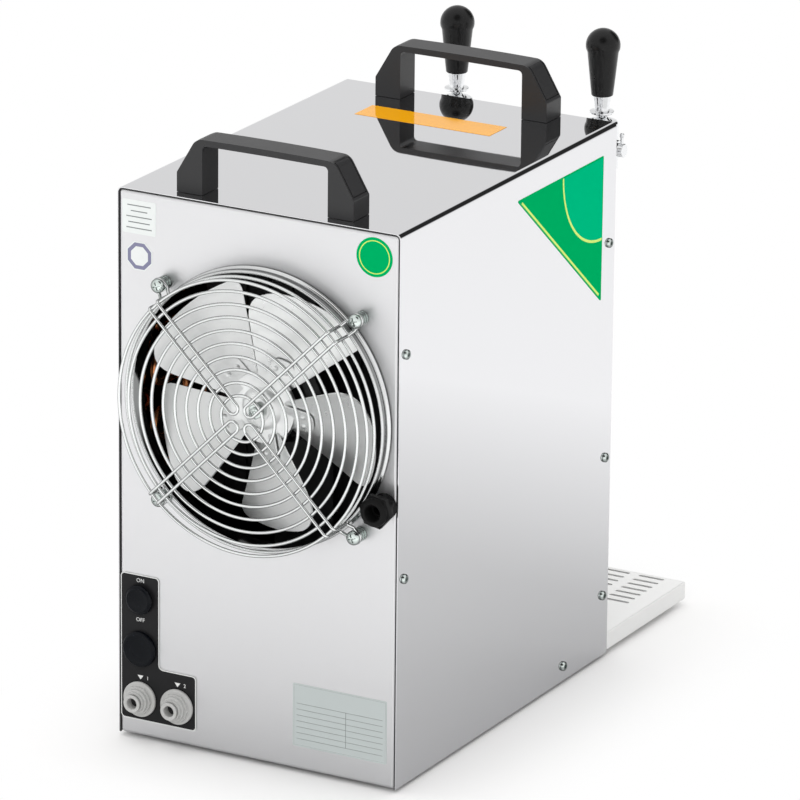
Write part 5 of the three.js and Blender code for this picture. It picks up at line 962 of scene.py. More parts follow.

# %% [markdown]
# ## Fan collar
# A shallow ring of spun sheet lines the big hole. Its foot rolls outwards on the panel and its lip
# curls over at the front. All of it is round, so one closed profile is spun round the fan's axis. The
# underside of the rolled foot takes a dark finish: painted shade for the gap between foot and panel.

# %% Spin the fan collar
FAN_STEPS = 160
ROLL_SHADE_HEIGHT, ROLL_SHADE_RADIUS = 0.0015, 0.1290
collar_profile = [
    (0.1260, -0.0050), (0.1272, -0.0050), (0.1275, 0.0003), (0.1294, 0.0003), (0.1300, 0.0006),
    (0.1302, 0.0012), (0.1299, 0.0019), (0.1291, 0.0022), (0.1281, 0.0026), (0.1276, 0.0034),
    (0.1275, 0.0045), (0.1275, 0.0094), (0.1279, 0.0100), (0.1286, 0.0105), (0.1290, 0.0112),
    (0.1290, 0.0120), (0.1285, 0.0129), (0.1277, 0.0134), (0.1269, 0.0133), (0.1262, 0.0127),
    (0.1260, 0.0118),
]
bm = bmesh.new()
turned(bm, collar_profile, FAN, OUT, steps=FAN_STEPS, closed=True)
# Faces low on the foot and far out take the dark finish: painted shade under the rolled foot.
for f in bm.faces:
    away = f.calc_center_median() - FAN
    if away.y < ROLL_SHADE_HEIGHT and away.length > ROLL_SHADE_RADIUS:
        f.material_index = 1
settle(bm, "fan_collar", [collar_steel, painted_shade_steel], stands_for=["fan_ring"],
       slot="zinc_steel", sharp=50)

# %% [markdown]
# ## Wire guard
# Nine round wires cross four double arms, and two more form the rim, one behind the other. Each arm is
# one closed loop of wire: a hairpin near the middle, two straight runs, a step down over the collar
# and an eye round the screw. A curve with a round bevel sweeps the wire along each path.

# %% Bend and weld the guard
WIRE = 0.0015
RING_HEIGHT, REAR_RIM_HEIGHT, ARM_HEIGHT, EYE_HEIGHT = 0.0365, 0.024, 0.038255, 0.011
FIRST_RING, RING_PITCH, RING_COUNT = 0.0212, 0.0119, 9
RIM_RADIUS = 0.1262
ARM_HALF, ARM_START, ARM_KNEE, EYE_CENTRE = 0.0055, 0.007, 0.127955, 0.1414
SHOULDER_HEIGHT, TOE_REACH = 0.017, 0.1349
BEND = 0.003


def round_wire(bm, radius, height, steps):
    """One ring of the guard."""
    centre = FAN + OUT * height
    points = arc(centre, 0, math.tau, SIDE, UP, radius, steps)[:-1]
    tube(bm, points, WIRE, closed=True)


def arm_wire(bm, angle):
    """One double arm of the guard, as a closed loop of wire."""
    along = SIDE * math.cos(angle) + UP * math.sin(angle)
    across = along.cross(OUT)
    half = math.pi / 2

    def at(reach, height, sideways=0.0):
        return FAN + along * reach + OUT * height + across * sideways

    hairpin = arc(at(ARM_START + ARM_HALF, ARM_HEIGHT), math.pi, half, along, across, ARM_HALF, 8)
    knee = at(ARM_KNEE, ARM_HEIGHT, ARM_HALF)
    shoulder = at(ARM_KNEE, SHOULDER_HEIGHT, ARM_HALF)
    toe = at(TOE_REACH, EYE_HEIGHT, ARM_HALF)
    end = at(EYE_CENTRE, EYE_HEIGHT, ARM_HALF)
    bends = corner(knee, hairpin[-1], shoulder, BEND, 6) + corner(shoulder, knee, toe, BEND, 5)
    bends += corner(toe, shoulder, end, BEND, 5)
    eye = arc(at(EYE_CENTRE, EYE_HEIGHT), half, 0, along, across, ARM_HALF, 8)
    one_side = hairpin + bends + eye
    other_side = [p - 2 * across * (p - FAN).dot(across) for p in reversed(one_side)]
    tube(bm, one_side + other_side[1:-1], WIRE, closed=True)


bm = bmesh.new()
for k in range(RING_COUNT):
    round_wire(bm, FIRST_RING + k * RING_PITCH, RING_HEIGHT, 72 + 10 * k)
round_wire(bm, RIM_RADIUS, RING_HEIGHT, 150)
round_wire(bm, RIM_RADIUS, REAR_RIM_HEIGHT, 150)
for k in range(4):
    arm_wire(bm, math.radians(45 + 90 * k))
settle(bm, "guard_wires", [chromed_wire], stands_for=["fan_guard"], slot="chromed_wire", sharp=60)

# %% [markdown]
# ## Guard screws
# Each eye of the guard sits between a stack of zinc washers and a pan-head screw. The head is turned
# with a domed top, and a cross recess is cut into it with a bar in the shape of a cross.

# %% Turn the guard screws
RECESS_REACH, RECESS_WIDTH, RECESS_DEPTH = 0.0040, 0.0013, 0.0024
RECESS_TURN, RECESS_TOP = 0.35, 0.0172
SHANK, WASHER, PAN = 0.0025, 0.0065, 0.0066
pan_profile = [
    (0, 0.0126), (PAN, 0.0126), (PAN, 0.0140), (PAN * 0.94, 0.0152), (PAN * 0.74, 0.0162),
    (PAN * 0.4, 0.0167), (0, 0.0168),
]
washer_profile = [
    (0, 0.0003), (WASHER, 0.0003), (WASHER, 0.0022), (WASHER * 0.86, 0.0024), (WASHER * 0.86, 0.0030),
    (WASHER, 0.0032), (WASHER, 0.0060), (WASHER * 0.86, 0.0062), (WASHER * 0.86, 0.0068),
    (WASHER, 0.0070), (WASHER, 0.0090), (WASHER * 0.9, 0.0092), (SHANK, 0.0092), (SHANK, 0.0126),
]


def cross_recess(bm, top):
    """Cuts a cross into a head that looks along +Y. `top` is the middle of its cutting tool."""
    turn = OUT.to_track_quat("Z", "Y").to_matrix().to_4x4()
    place = Matrix.Translation(top - OUT * RECESS_DEPTH) @ turn @ Matrix.Rotation(RECESS_TURN, 4, "Z")
    half = RECESS_WIDTH / 2
    arm = [Vector((RECESS_REACH, -half, 0)), Vector((RECESS_REACH, half, 0)), Vector((half, half, 0))]
    outline = [Matrix.Rotation(math.pi / 2 * k, 4, "Z") @ p for k in range(4) for p in arm]
    tool = bmesh.new()
    slab(tool, [place @ p for p in outline], OUT * 2 * RECESS_DEPTH)
    return carve(bm, tool)


for k in range(1, 5):
    low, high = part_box(f"guard_screw_{k}")
    seat = Vector(((low.x + high.x) / 2, REAR, (low.z + high.z) / 2))
    bm = bmesh.new()
    turned(bm, pan_profile, seat, OUT, steps=40)
    bm = cross_recess(bm, seat + OUT * RECESS_TOP)
    turned(bm, washer_profile, seat, OUT, steps=40)
    settle(bm, f"guard_screw_{k}_stack", [zinc_steel], stands_for=[f"guard_screw_{k}"],
           slot="zinc_steel", sharp=35)

# %% [markdown]
# ## Fan wheel
# Five sheet blades are riveted to a stamped spider. A blade starts as a flat outline with rounded
# corners. Bisect cuts it into strips, so that it can be bent into a shallow scoop; then it is
# pitched and turned to its place. The wheel spins, so it rides on its own body.

# %% Draw a blade
TIP, ROOT = 0.114, 0.026
HALF_ANGLE = math.radians(28.5)
PITCH = math.radians(22)
LEADING, TRAILING = 0.030, 0.012


def blade_outline():
    """The blade's flat outline: x runs along the rim and y away from the hub."""
    def at(radius, angle):
        return Vector((radius * math.sin(angle) / math.cos(PITCH), radius * math.cos(angle), 0))

    def soft_corner(start, corner_point, end, steps):
        ts = [i / steps for i in range(steps + 1)]
        return [start * (1 - t) ** 2 + corner_point * 2 * t * (1 - t) + end * t * t for t in ts]

    rim_from, rim_to = -HALF_ANGLE + LEADING / TIP, HALF_ANGLE - TRAILING / TIP
    first = soft_corner(at(TIP - LEADING, -HALF_ANGLE), at(TIP, -HALF_ANGLE), at(TIP, rim_from), 10)
    last = soft_corner(at(TIP, rim_to), at(TIP, HALF_ANGLE), at(TIP - TRAILING, HALF_ANGLE), 6)
    rim = [at(TIP, rim_from + (rim_to - rim_from) * i / 10) for i in range(1, 10)]
    return [at(ROOT, -HALF_ANGLE), *first, *rim, *last, at(ROOT, HALF_ANGLE)]


# %% Bend the blades
BLADES = 5
BLADE_SHEET = 0.0015
SCOOP, SCOOP_HALF, SCOOP_LEVEL = 0.0035, 0.055, 0.35
STRIP_ACROSS, STRIP_ALONG = 0.009, 0.010
WHEEL_MIDDLE = -0.001
FIRST_BLADE = math.radians(90 + 65)
hub = FAN + OUT * WHEEL_MIDDLE


def score(bm, point, across):
    """Cuts every face along a plane, so that the sheet can bend there."""
    bmesh.ops.bisect_plane(bm, geom=bm.verts[:] + bm.edges[:] + bm.faces[:],
                           plane_co=point, plane_no=across, dist=1e-7)


def blade_place(k):
    """Takes a flat blade, or what is riveted to it, to its pitch and its place round the hub."""
    return (
        Matrix.Translation(hub)
        @ Matrix.Rotation(FIRST_BLADE + math.tau * k / BLADES, 4, "Y")
        @ Matrix.Rotation(-math.pi / 2, 4, "X")
        @ Matrix.Rotation(PITCH, 4, "Y")
    )


bm = bmesh.new()
for k in range(BLADES):
    one = bmesh.new()
    slab(one, blade_outline(), Vector((0, 0, BLADE_SHEET)))
    for i in range(-6, 7):
        score(one, Vector((i * STRIP_ACROSS, 0, 0)), SIDE)
    for i in range(1, 9):
        score(one, Vector((0, ROOT + i * STRIP_ALONG, 0)), OUT)
    for v in one.verts:
        v.co.z -= BLADE_SHEET / 2
        bend = (v.co.x / SCOOP_HALF) ** 2 * (v.co.y / TIP)
        v.co.z += SCOOP * (bend - SCOOP_LEVEL)
    bmesh.ops.transform(one, matrix=blade_place(k), verts=one.verts)
    pour(one, bm)
settle(bm, "fan_blade_sheets", [blade_aluminium], body="fan_wheel", stands_for=["fan_blades"],
       slot="blade_aluminium", sharp=50)

# %% Press the spider and its rivets
ARM_OF_SPIDER, ARM_FROM, ARM_TO, ARM_ROUND, ARM_SHEET = 0.011, 0.024, 0.052, 0.008, 0.0016
RIVET, RIVET_REACH, RIVET_HALF_GAP, RIVET_FLATNESS = 0.0026, 0.042, 0.005, 0.6
spider_profile = [
    (0, -0.0028), (0.033, -0.0028), (0.0335, 0.0), (0.0325, 0.0026), (0.030, 0.0032), (0.020, 0.0034),
    (0.0175, 0.0062), (0.0150, 0.0070), (0.0112, 0.0072), (0.0110, 0.0100), (0, 0.0100),
]
bm = bmesh.new()
turned(bm, spider_profile, hub, OUT, steps=64)
arm_low = BLADE_SHEET / 2
arm_high = arm_low + ARM_SHEET
for k in range(BLADES):
    arm = block(bm, (-ARM_OF_SPIDER, ARM_FROM, arm_low), (ARM_OF_SPIDER, ARM_TO, arm_high))
    tip_edges = [e for e in {e for v in arm for e in v.link_edges}
                 if all(v.co.y > ARM_TO - 0.002 for v in e.verts)
                 and abs(e.verts[0].co.z - e.verts[1].co.z) > 0.001]
    bent = round_edges(bm, tip_edges, ARM_ROUND, 5)
    parts = [v for v in set(arm) | set(bent["verts"]) if v.is_valid]
    for x in (-RIVET_HALF_GAP, RIVET_HALF_GAP):
        spot = Matrix.Translation((x, RIVET_REACH, arm_high)) @ Matrix.Diagonal((1, 1, RIVET_FLATNESS, 1))
        rivet = bmesh.ops.create_uvsphere(bm, u_segments=16, v_segments=8, radius=RIVET, matrix=spot)
        parts += rivet["verts"]
    bmesh.ops.transform(bm, matrix=blade_place(k), verts=list(set(parts)))
settle(bm, "fan_spider", [blade_aluminium], body="fan_wheel", slot="blade_aluminium", sharp=40)

# %% Screw on the fan nut
NUT_RADIUS, NUT_FROM, NUT_LENGTH, NUT_EDGE = 0.0075, 0.0100, 0.0055, 0.0006
stud_profile = [(0, 0.0155), (0.0042, 0.0155), (0.0042, 0.0165), (0.0034, 0.0170), (0, 0.0170)]
bm = bmesh.new()
prism(bm, NUT_RADIUS, 6, hub + OUT * NUT_FROM, OUT, NUT_LENGTH)
soften(bm, NUT_EDGE, least=40)
turned(bm, stud_profile, hub, OUT, steps=24)
settle(bm, "fan_nut", [zinc_steel], body="fan_wheel", slot="zinc_steel", sharp=35)

# %% [markdown]
# ## Control plate
# A dark printed film in the shape of an L carries the push button, the air port and the two inlets.
# Its outline is drawn with rounded corners and pushed through the film's thickness. An inset along
# the rim becomes a second face with its own finish: the printed white border.

# %% Cut the control plate
plate_low, plate_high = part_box("control_plate")
PLATE_FACE = plate_high.y
PLATE_COLUMN, PLATE_STEP, PLATE_CORNER, BORDER = 0.1005, 0.072, 0.004, 0.0008
plate_corners = [Vector((x, plate_low.y, z)) for x, z in (
    (plate_high.x, plate_low.z), (plate_high.x, plate_high.z), (PLATE_COLUMN, plate_high.z),
    (PLATE_COLUMN, PLATE_STEP), (plate_low.x, PLATE_STEP), (plate_low.x, plate_low.z),
)]
bm = bmesh.new()
slab(bm, round_off(plate_corners, PLATE_CORNER, 6), OUT * (plate_high.y - plate_low.y))
bm.normal_update()
bmesh.ops.recalc_face_normals(bm, faces=bm.faces)
face = [f for f in bm.faces if f.normal.y > 0.9]
ring = bmesh.ops.inset_region(bm, faces=face, thickness=BORDER, use_even_offset=True)
for f in bm.faces:
    if f in ring["faces"] or abs(f.normal.y) < 0.5:
        f.material_index = 1
settle(bm, "control_film", [plate_film, ink_white], stands_for=["control_plate"], slot="black_plastic")

# %% Print ON and OFF, and an arrow and a number over each inlet
INK = 0.00012
WORD_SIZE, NUMERAL_SIZE = 0.0052, 0.0050
NUMERAL_ASIDE, NUMERAL_UP = 0.0075, 0.0206
ARROW = ((-0.003, 0.0225), (0.003, 0.0225), (0, 0.0185))


def print_word(word, size, centre, name, ink, facing=1):
    """Lettering as a thin mesh on a face that looks along +Y (facing 1) or -Y (facing -1)."""
    data = bpy.data.curves.new(name, "FONT")
    data.body = word
    data.size = size
    data.align_x = "CENTER"
    data.align_y = "CENTER"
    data.extrude = INK
    carrier = bpy.data.objects.new(name, data)
    mesh = bpy.data.meshes.new_from_object(carrier)
    bpy.data.objects.remove(carrier)
    bpy.data.curves.remove(data)
    bm = bmesh.new()
    bm.from_mesh(mesh)
    bpy.data.meshes.remove(mesh)
    turn = Matrix.Rotation(math.pi / 2, 4, "X")
    if facing > 0:
        turn = Matrix.Rotation(math.pi, 4, "Z") @ turn
    bmesh.ops.transform(bm, matrix=Matrix.Translation(centre) @ turn, verts=bm.verts)
    settle(bm, name, [ink], slot="black_plastic")


for word, z in (("ON", 0.1535), ("OFF", 0.1160)):
    print_word(word, WORD_SIZE, (button_centre.x, PLATE_FACE, z), f"word_{word.lower()}", ink_white)
for k, spot in enumerate(inlet_centres, start=1):
    bm = bmesh.new()
    slab(bm, [spot + Vector((x, 0, z)) for x, z in ARROW], OUT * INK)
    bmesh.ops.translate(bm, vec=(0, PLATE_FACE - REAR, 0), verts=bm.verts)
    settle(bm, f"inlet_arrow_{k}", [ink_white], slot="black_plastic")
    numeral_spot = (spot.x - NUMERAL_ASIDE, PLATE_FACE, spot.z + NUMERAL_UP)
    print_word(str(k), NUMERAL_SIZE, numeral_spot, f"inlet_number_{k}", ink_white)

# %% [markdown]
# ## Push button and air-port cap
# Two glossy black discs sit one above the other. The upper one is the pump's push button with a
# sunken thumb face, the lower one is the cap that closes the air port. Each is one lathe profile.

# %% Turn the button and the cap
button_profile = [
    (0, -0.004), (0.008, -0.004), (0.008, 0.0027), (0.0138, 0.0027), (0.0140, 0.0030), (0.0140, 0.0040),
    (0.0136, 0.0046), (0.0126, 0.0048), (0.0120, 0.0052), (0.0114, 0.0058), (0.0106, 0.0059),
    (0.0092, 0.0055), (0.0060, 0.0050), (0, 0.0048),
]
cap_profile = [
    (0, 0.0003), (0.0163, 0.0003), (0.0167, 0.0007), (0.0168, 0.0012), (0.0168, 0.0030),
    (0.0165, 0.0037), (0.0158, 0.0042), (0.0148, 0.0044), (0.0134, 0.0044), (0.0126, 0.0041),
    (0.0080, 0.0038), (0, 0.0037),
]
button_seat = Vector((button_centre.x, PLATE_FACE, button_centre.z))
cap_seat = Vector((port_centre.x, PLATE_FACE, port_centre.z))
turn_piece("air_button_disc", button_profile, button_seat, OUT, 72, gloss_black, body="pump_button",
           stands_for=["air_button"], slot="gloss_black", sharp=45)
turn_piece("air_cap_disc", cap_profile, cap_seat, OUT, 72, gloss_black, body="outlet_cap",
           stands_for=["air_cap"], slot="gloss_black", sharp=45)

# %% [markdown]
# ## Inlet fittings
# The two grey push-in fittings take the beer lines. From the panel outwards each one is a round
# flange, a hexagon for the spanner, two steps and a nose. The collet inside is its own part, because
# it slides in to let the line go.

# %% Turn the inlets and their collets
fitting_profile = [
    (0.0071, -0.0228), (0.0090, -0.0228), (0.0090, 0.0003), (0.0160, 0.0003), (0.0166, 0.0008),
    (0.0166, 0.0026), (0.0160, 0.0033), (0.0136, 0.0034), (0.0130, 0.0036), (0.0130, 0.0064),
    (0.0112, 0.0067), (0.0116, 0.0072), (0.0116, 0.0092), (0.0111, 0.0098), (0.0099, 0.0100),
    (0.0098, 0.0104), (0.0098, 0.0123), (0.0094, 0.0128), (0.0088, 0.0129), (0.0078, 0.0128),
    (0.0074, 0.0122),
]
hexagon_profile = [
    (0.0092, 0.0034), (0.0134, 0.0034), (0.0138, 0.0038), (0.0138, 0.0061), (0.0134, 0.0065),
    (0.0092, 0.0065),
]
valve_profile = [
    (0, 0.0006), (0.0072, 0.0006), (0.0072, 0.0028), (0.0048, 0.0030), (0.0048, 0.0088),
    (0.0030, 0.0092), (0.0022, 0.0080), (0, 0.0076),
]
collet_profile = [
    (0.0050, 0.0050), (0.0068, 0.0050), (0.0070, 0.0052), (0.0070, 0.0148), (0.0082, 0.0151),
    (0.0084, 0.0154), (0.0084, 0.0162), (0.0081, 0.0166), (0.0062, 0.0166), (0.0054, 0.0162),
    (0.0050, 0.0154),
]


def hexagon_ring(bm, profile, seat, turn):
    """A profile spun in six steps is a hexagon with a round hole. `turn` turns it about its axis."""
    ring = bmesh.new()
    turned(ring, profile, seat, OUT, steps=6, closed=True)
    bmesh.ops.rotate(ring, verts=ring.verts, cent=seat, matrix=Matrix.Rotation(turn, 3, OUT))
    pour(ring, bm)


for k, spot in enumerate(inlet_centres, start=1):
    seat = Vector((spot.x, PLATE_FACE, spot.z))
    bm = bmesh.new()
    turned(bm, fitting_profile, seat, OUT, closed=True)
    hexagon_ring(bm, hexagon_profile, seat, math.pi / 6)
    settle(bm, f"inlet_{k}_fitting", [grey_nylon], stands_for=[f"inlet_fitting_{k}"],
           slot="grey_nylon", sharp=40)
    turn_piece(f"inlet_{k}_valve", valve_profile, seat, OUT, 32, black_rubber, slot="black_rubber",
               sharp=40)
    turn_piece(f"inlet_{k}_collet", collet_profile, seat, OUT, 48, grey_nylon, closed=True,
               body=f"release_collet_{k}", stands_for=[f"inlet_collet_{k}"], slot="grey_nylon", sharp=40)

# %% [markdown]
# ## Mains gland
# The mains lead leaves through a black gland beside the fan. It is a hexagonal body on the panel, and
# a clamping nut that screws over the body's neck: a round skirt, a hexagon for the spanner and a
# domed end round the mouth. The nut's hexagon is turned so that it lies as in the picture.

# %% Turn the gland
BODY_HEX, BODY_LENGTH, BODY_EDGE = 0.0123, 0.0062, 0.0007
HEX, HEX_HOLE, HEX_FROM, HEX_TO, HEX_TURN = 0.0161, 0.0090, 0.0139, 0.0205, 0.33
neck_profile = [
    (0.0046, 0.0004), (0.0120, 0.0004), (0.0120, 0.0010), (0.0104, 0.0067), (0.0101, 0.0073),
    (0.0075, 0.0074), (0.0075, 0.0133), (0.0046, 0.0133),
]
clamp_hexagon = [
    (HEX_HOLE, HEX_FROM), (HEX - 0.0010, HEX_FROM), (HEX, HEX_FROM + 0.0008), (HEX, HEX_TO - 0.0012),
    (HEX - 0.0016, HEX_TO), (HEX_HOLE, HEX_TO),
]
clamp_profile = [
    (0.0078, 0.0076), (0.0120, 0.0076), (0.0120, 0.0150), (0.0132, 0.0150), (0.0132, 0.0212),
    (0.0130, 0.0222), (0.0122, 0.0232), (0.0108, 0.0239), (0.0096, 0.0243), (0.0088, 0.0244),
    (0.0081, 0.0241), (0.0077, 0.0234), (0.0070, 0.0214), (0.0062, 0.0190), (0.0060, 0.0150),
    (0.0078, 0.0136),
]
bm = bmesh.new()
prism(bm, BODY_HEX, 6, gland_centre + OUT * SEAT_GAP, OUT, BODY_LENGTH)
soften(bm, BODY_EDGE, least=40)
turned(bm, neck_profile, gland_centre, OUT, steps=48, closed=True)
settle(bm, "gland_hexagon", [gland_black], stands_for=["gland_body"], slot="black_plastic", sharp=38)
bm = bmesh.new()
hexagon_ring(bm, clamp_hexagon, gland_centre, HEX_TURN)
turned(bm, clamp_profile, gland_centre, OUT, steps=56, closed=True)
settle(bm, "gland_clamp", [gland_black], stands_for=["gland_nut"], slot="black_plastic", sharp=38)

# %% [markdown]
# ## Thermostat dial
# On the tap side a black dial sets the cold. It has a thin skirt, a grip with eight flutes and a white
# pointer. The flutes are cut from the turned grip with eight round bars.

# %% Turn and flute the dial
FACE_OUT = Vector((0, -1, 0))
SKIRT, GRIP, GRIP_LENGTH = 0.021, 0.015, 0.0175
FLUTES, FLUTE_RADIUS, FLUTE_DEPTH, FLUTE_FROM, FLUTE_LENGTH = 8, 0.0022, 0.0015, 0.0044, 0.020
POINTER_HALF, POINTER_FROM, POINTER_TO = 0.0007, 0.005, 0.0115
dial_point = Vector((dial_centre.x, FRONT, dial_centre.z))
dial_profile = [
    (0, 0.0005), (SKIRT - 0.0004, 0.0005), (SKIRT, 0.0010), (SKIRT, 0.0026), (SKIRT - 0.0008, 0.0034),
    (0.0160, 0.0040), (GRIP, 0.0052), (GRIP - 0.0006, GRIP_LENGTH - 0.0012),
    (GRIP - 0.0018, GRIP_LENGTH - 0.0002), (GRIP - 0.0030, GRIP_LENGTH), (0, GRIP_LENGTH),
]


def round_dial(angle, radius):
    """A point on the panel at an angle round the dial's axis."""
    return dial_point + (SIDE * math.cos(angle) + UP * math.sin(angle)) * radius


bm = bmesh.new()
turned(bm, dial_profile, dial_point, FACE_OUT, steps=96)
tool = bmesh.new()
for k in range(FLUTES):
    spot = round_dial(math.tau * (k + 0.5) / FLUTES, GRIP + FLUTE_RADIUS - FLUTE_DEPTH)
    prism(tool, FLUTE_RADIUS, 20, spot + FACE_OUT * FLUTE_FROM, FACE_OUT, FLUTE_LENGTH)
settle(carve(bm, tool), "dial_grip", [black_plastic], body="dial", stands_for=["thermostat_dial"],
       slot="black_plastic", sharp=35)
bm = bmesh.new()
block(bm, dial_point + Vector((-POINTER_HALF, -GRIP_LENGTH - 0.0001, POINTER_FROM)),
      dial_point + Vector((POINTER_HALF, -GRIP_LENGTH + 0.0003, POINTER_TO)))
settle(bm, "dial_pointer", [ink_white], body="dial", slot="black_plastic")

# %% Print plain numbers round the dial
NUMBER_RADIUS, NUMBER_SIZE, NUMBER_COUNT = 0.0275, 0.0068, 8
for k in range(NUMBER_COUNT):
    angle = math.radians(225 - 270 * k / (NUMBER_COUNT - 1))
    spot = round_dial(angle, NUMBER_RADIUS)
    print_word(str(k), NUMBER_SIZE, spot, f"dial_number_{k}", ink_grey, facing=-1)

# %% [markdown]
# ## Taps
# Each tap is chromed brass: a rose against the panel, a tube, an upright barrel, a spout with a
# collar, a small side lever for the flow, and a long lever with a black knob. Nearly every part
# is round about some axis, so the lathe makes most of them.

# %% Draw the profiles of the taps
BARREL, BARREL_BORE, BARREL_FOOT, BARREL_HEAD, CHAMFER = 0.016, 0.0068, 0.440, 0.488, 0.003
BARREL_MOUTH, MOUTH_DEPTH = 0.0096, 0.014
PIVOT = 0.484
tube_profile = [(0.0060, 0.0043), (0.0090, 0.0043), (0.0090, 0.1125), (0.0060, 0.1125)]
rose_profile = [
    (0.0091, 0.0003), (0.0196, 0.0003), (0.0200, 0.0008), (0.0198, 0.0016), (0.0180, 0.0026),
    (0.0140, 0.0040), (0.0118, 0.0055), (0.0110, 0.0063), (0.0091, 0.0063),
]
barrel_profile = [
    (BARREL_MOUTH, BARREL_HEAD - MOUTH_DEPTH), (BARREL_MOUTH, BARREL_HEAD - 0.0006),
    (0.0102, BARREL_HEAD), (BARREL - CHAMFER, BARREL_HEAD),
    (BARREL - CHAMFER * 0.4, BARREL_HEAD - CHAMFER * 0.35), (BARREL, BARREL_HEAD - CHAMFER),
    (BARREL, BARREL_FOOT + CHAMFER), (BARREL - CHAMFER * 0.4, BARREL_FOOT + CHAMFER * 0.35),
    (BARREL - CHAMFER, BARREL_FOOT), (BARREL_BORE, BARREL_FOOT),
    (BARREL_BORE, BARREL_HEAD - MOUTH_DEPTH),
]
coupling_profile = [
    (0.0095, 0.0140), (0.0125, 0.0140), (0.0130, 0.0146), (0.0130, 0.0312), (0.0122, 0.0320),
    (0.0095, 0.0320),
]
boss_profile = [(0, 0.0120), (0.0090, 0.0120), (0.0090, 0.0192), (0.0084, 0.0199), (0, 0.0199)]
spout_profile = [
    (0.0052, 0.3937), (0.0062, 0.3937), (0.0068, 0.3944), (0.0074, 0.4150), (0.0080, 0.4306),
    (0.0099, 0.4318), (0.0105, 0.4325), (0.0105, 0.4390), (0.0099, 0.4397), (0.0052, 0.4397),
]
flow_cap_profile = [
    (0, 0.0205), (0.0060, 0.0205), (0.0065, 0.0210), (0.0065, 0.0260), (0.0060, 0.0265), (0, 0.0265),
]
flow_tip_profile = [
    (0, 0.0118), (0.0018, 0.0124), (0.0024, 0.0140), (0.0022, 0.0156), (0.0012, 0.0165), (0, 0.0167),
]
lever_profile = [
    (0, PIVOT - 0.0090), (0.0040, PIVOT - 0.0081), (0.0075, PIVOT - 0.0050), (0.0090, PIVOT),
    (0.0080, PIVOT + 0.0041), (0.0055, PIVOT + 0.0071), (0.0034, PIVOT + 0.0084), (0.0033, 0.4950),
    (0.0110, 0.4950), (0.0115, 0.4955), (0.0115, 0.4969), (0.0109, 0.4974), (0.0074, 0.4976),
    (0.0069, 0.4984), (0.0072, 0.5020), (0.0086, 0.5112), (0.0084, 0.5120), (0, 0.5121),
]
print("tap profiles drawn, barrel", round(BARREL_HEAD - BARREL_FOOT, 4), "tall")

# %% Turn the two taps
TAP_Y, FLOW_Y, FLOW_HEIGHT = -0.23988, -0.23588, 0.463
FLOW_STEM, STEM_FROM, STEM_TO, STEM_RADIUS = 0.0235, 0.004, 0.0160, 0.0016
KNOB_FOOT, KNOB_WAIST, KNOB_BALL = 0.0102, 0.0146, 0.0162
BALL_HEIGHT, BALL_DROP = 0.5601, 0.006


def knob_profile(foot, top):
    """A cone that widens upwards under a round head."""
    neck = BALL_HEIGHT - BALL_DROP - foot
    points = [(0, foot), (0.0098, foot), (KNOB_FOOT, foot + 0.0005)]
    points += [(KNOB_FOOT + (KNOB_WAIST - KNOB_FOOT) * t, foot + neck * t) for t in (0.25, 0.5, 0.75, 1.0)]
    angles = [math.radians(-12 + 102 * i / 12) for i in range(12)]
    points += [(KNOB_BALL * math.cos(a), BALL_HEIGHT + KNOB_BALL * math.sin(a)) for a in angles]
    return [*points, (0, top)]


for side, word in ((1, "left"), (-1, "right")):
    x = side * TAP_SPREAD
    axis_point = Vector((x, TAP_Y, 0))
    shank = Vector((x, TAP_Y, SHANK_HEIGHT))
    rose = Vector((x, FRONT, SHANK_HEIGHT))
    flow_point = Vector((x, FLOW_Y, FLOW_HEIGHT))
    stem_foot = flow_point - SIDE * FLOW_STEM
    chromed = {"slot": "chrome_brass", "sharp": 38}
    bm = bmesh.new()
    turned(bm, tube_profile, shank, OUT, steps=48, closed=True)
    turned(bm, rose_profile, rose, FACE_OUT, closed=True)
    settle(bm, f"tap_{word}_shank", [chrome_brass], stands_for=[f"tap_shank_{word}"], **chromed)
    bm = bmesh.new()
    turned(bm, barrel_profile, axis_point, UP, steps=72, closed=True)
    turned(bm, coupling_profile, shank, OUT, steps=56, closed=True)
    turned(bm, boss_profile, flow_point, -SIDE, steps=48)
    settle(bm, f"tap_{word}_barrel", [chrome_brass], stands_for=[f"tap_body_{word}"], **chromed)
    turn_piece(f"tap_{word}_spout", spout_profile, axis_point, UP, 48, chrome_brass, closed=True,
               stands_for=[f"tap_spout_{word}"], **chromed)
    bm = bmesh.new()
    turned(bm, flow_cap_profile, flow_point, -SIDE, steps=40)
    tube(bm, [stem_foot + UP * STEM_FROM, stem_foot + UP * STEM_TO], STEM_RADIUS)
    turned(bm, flow_tip_profile, stem_foot, UP, steps=24)
    settle(bm, f"flow_{word}_lever", [chrome_brass], body=f"flow_control_{word}",
           stands_for=[f"flow_lever_{word}"], **chromed)
    turn_piece(f"lever_{word}_ferrule", lever_profile, axis_point, UP, 48, chrome_brass,
               body=f"lever_{word}", stands_for=[f"tap_lever_{word}"], **chromed)
    knob_low, knob_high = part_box(f"tap_knob_{word}")
    turn_piece(f"knob_{word}_grip", knob_profile(knob_low.z, knob_high.z), axis_point, UP, 56, knob_black,
               body=f"lever_{word}", stands_for=[f"tap_knob_{word}"], slot="gloss_black", sharp=50)

# %% [markdown]
# ## Drip tray and its grille
# The tray is a shallow box bent from sheet: a block without its lid, folded corners rounded, then
# Solidify. The grille is a plate with rows of slots that lifts out. Slots are cut with bars that
# have rounded ends, all in one Boolean.

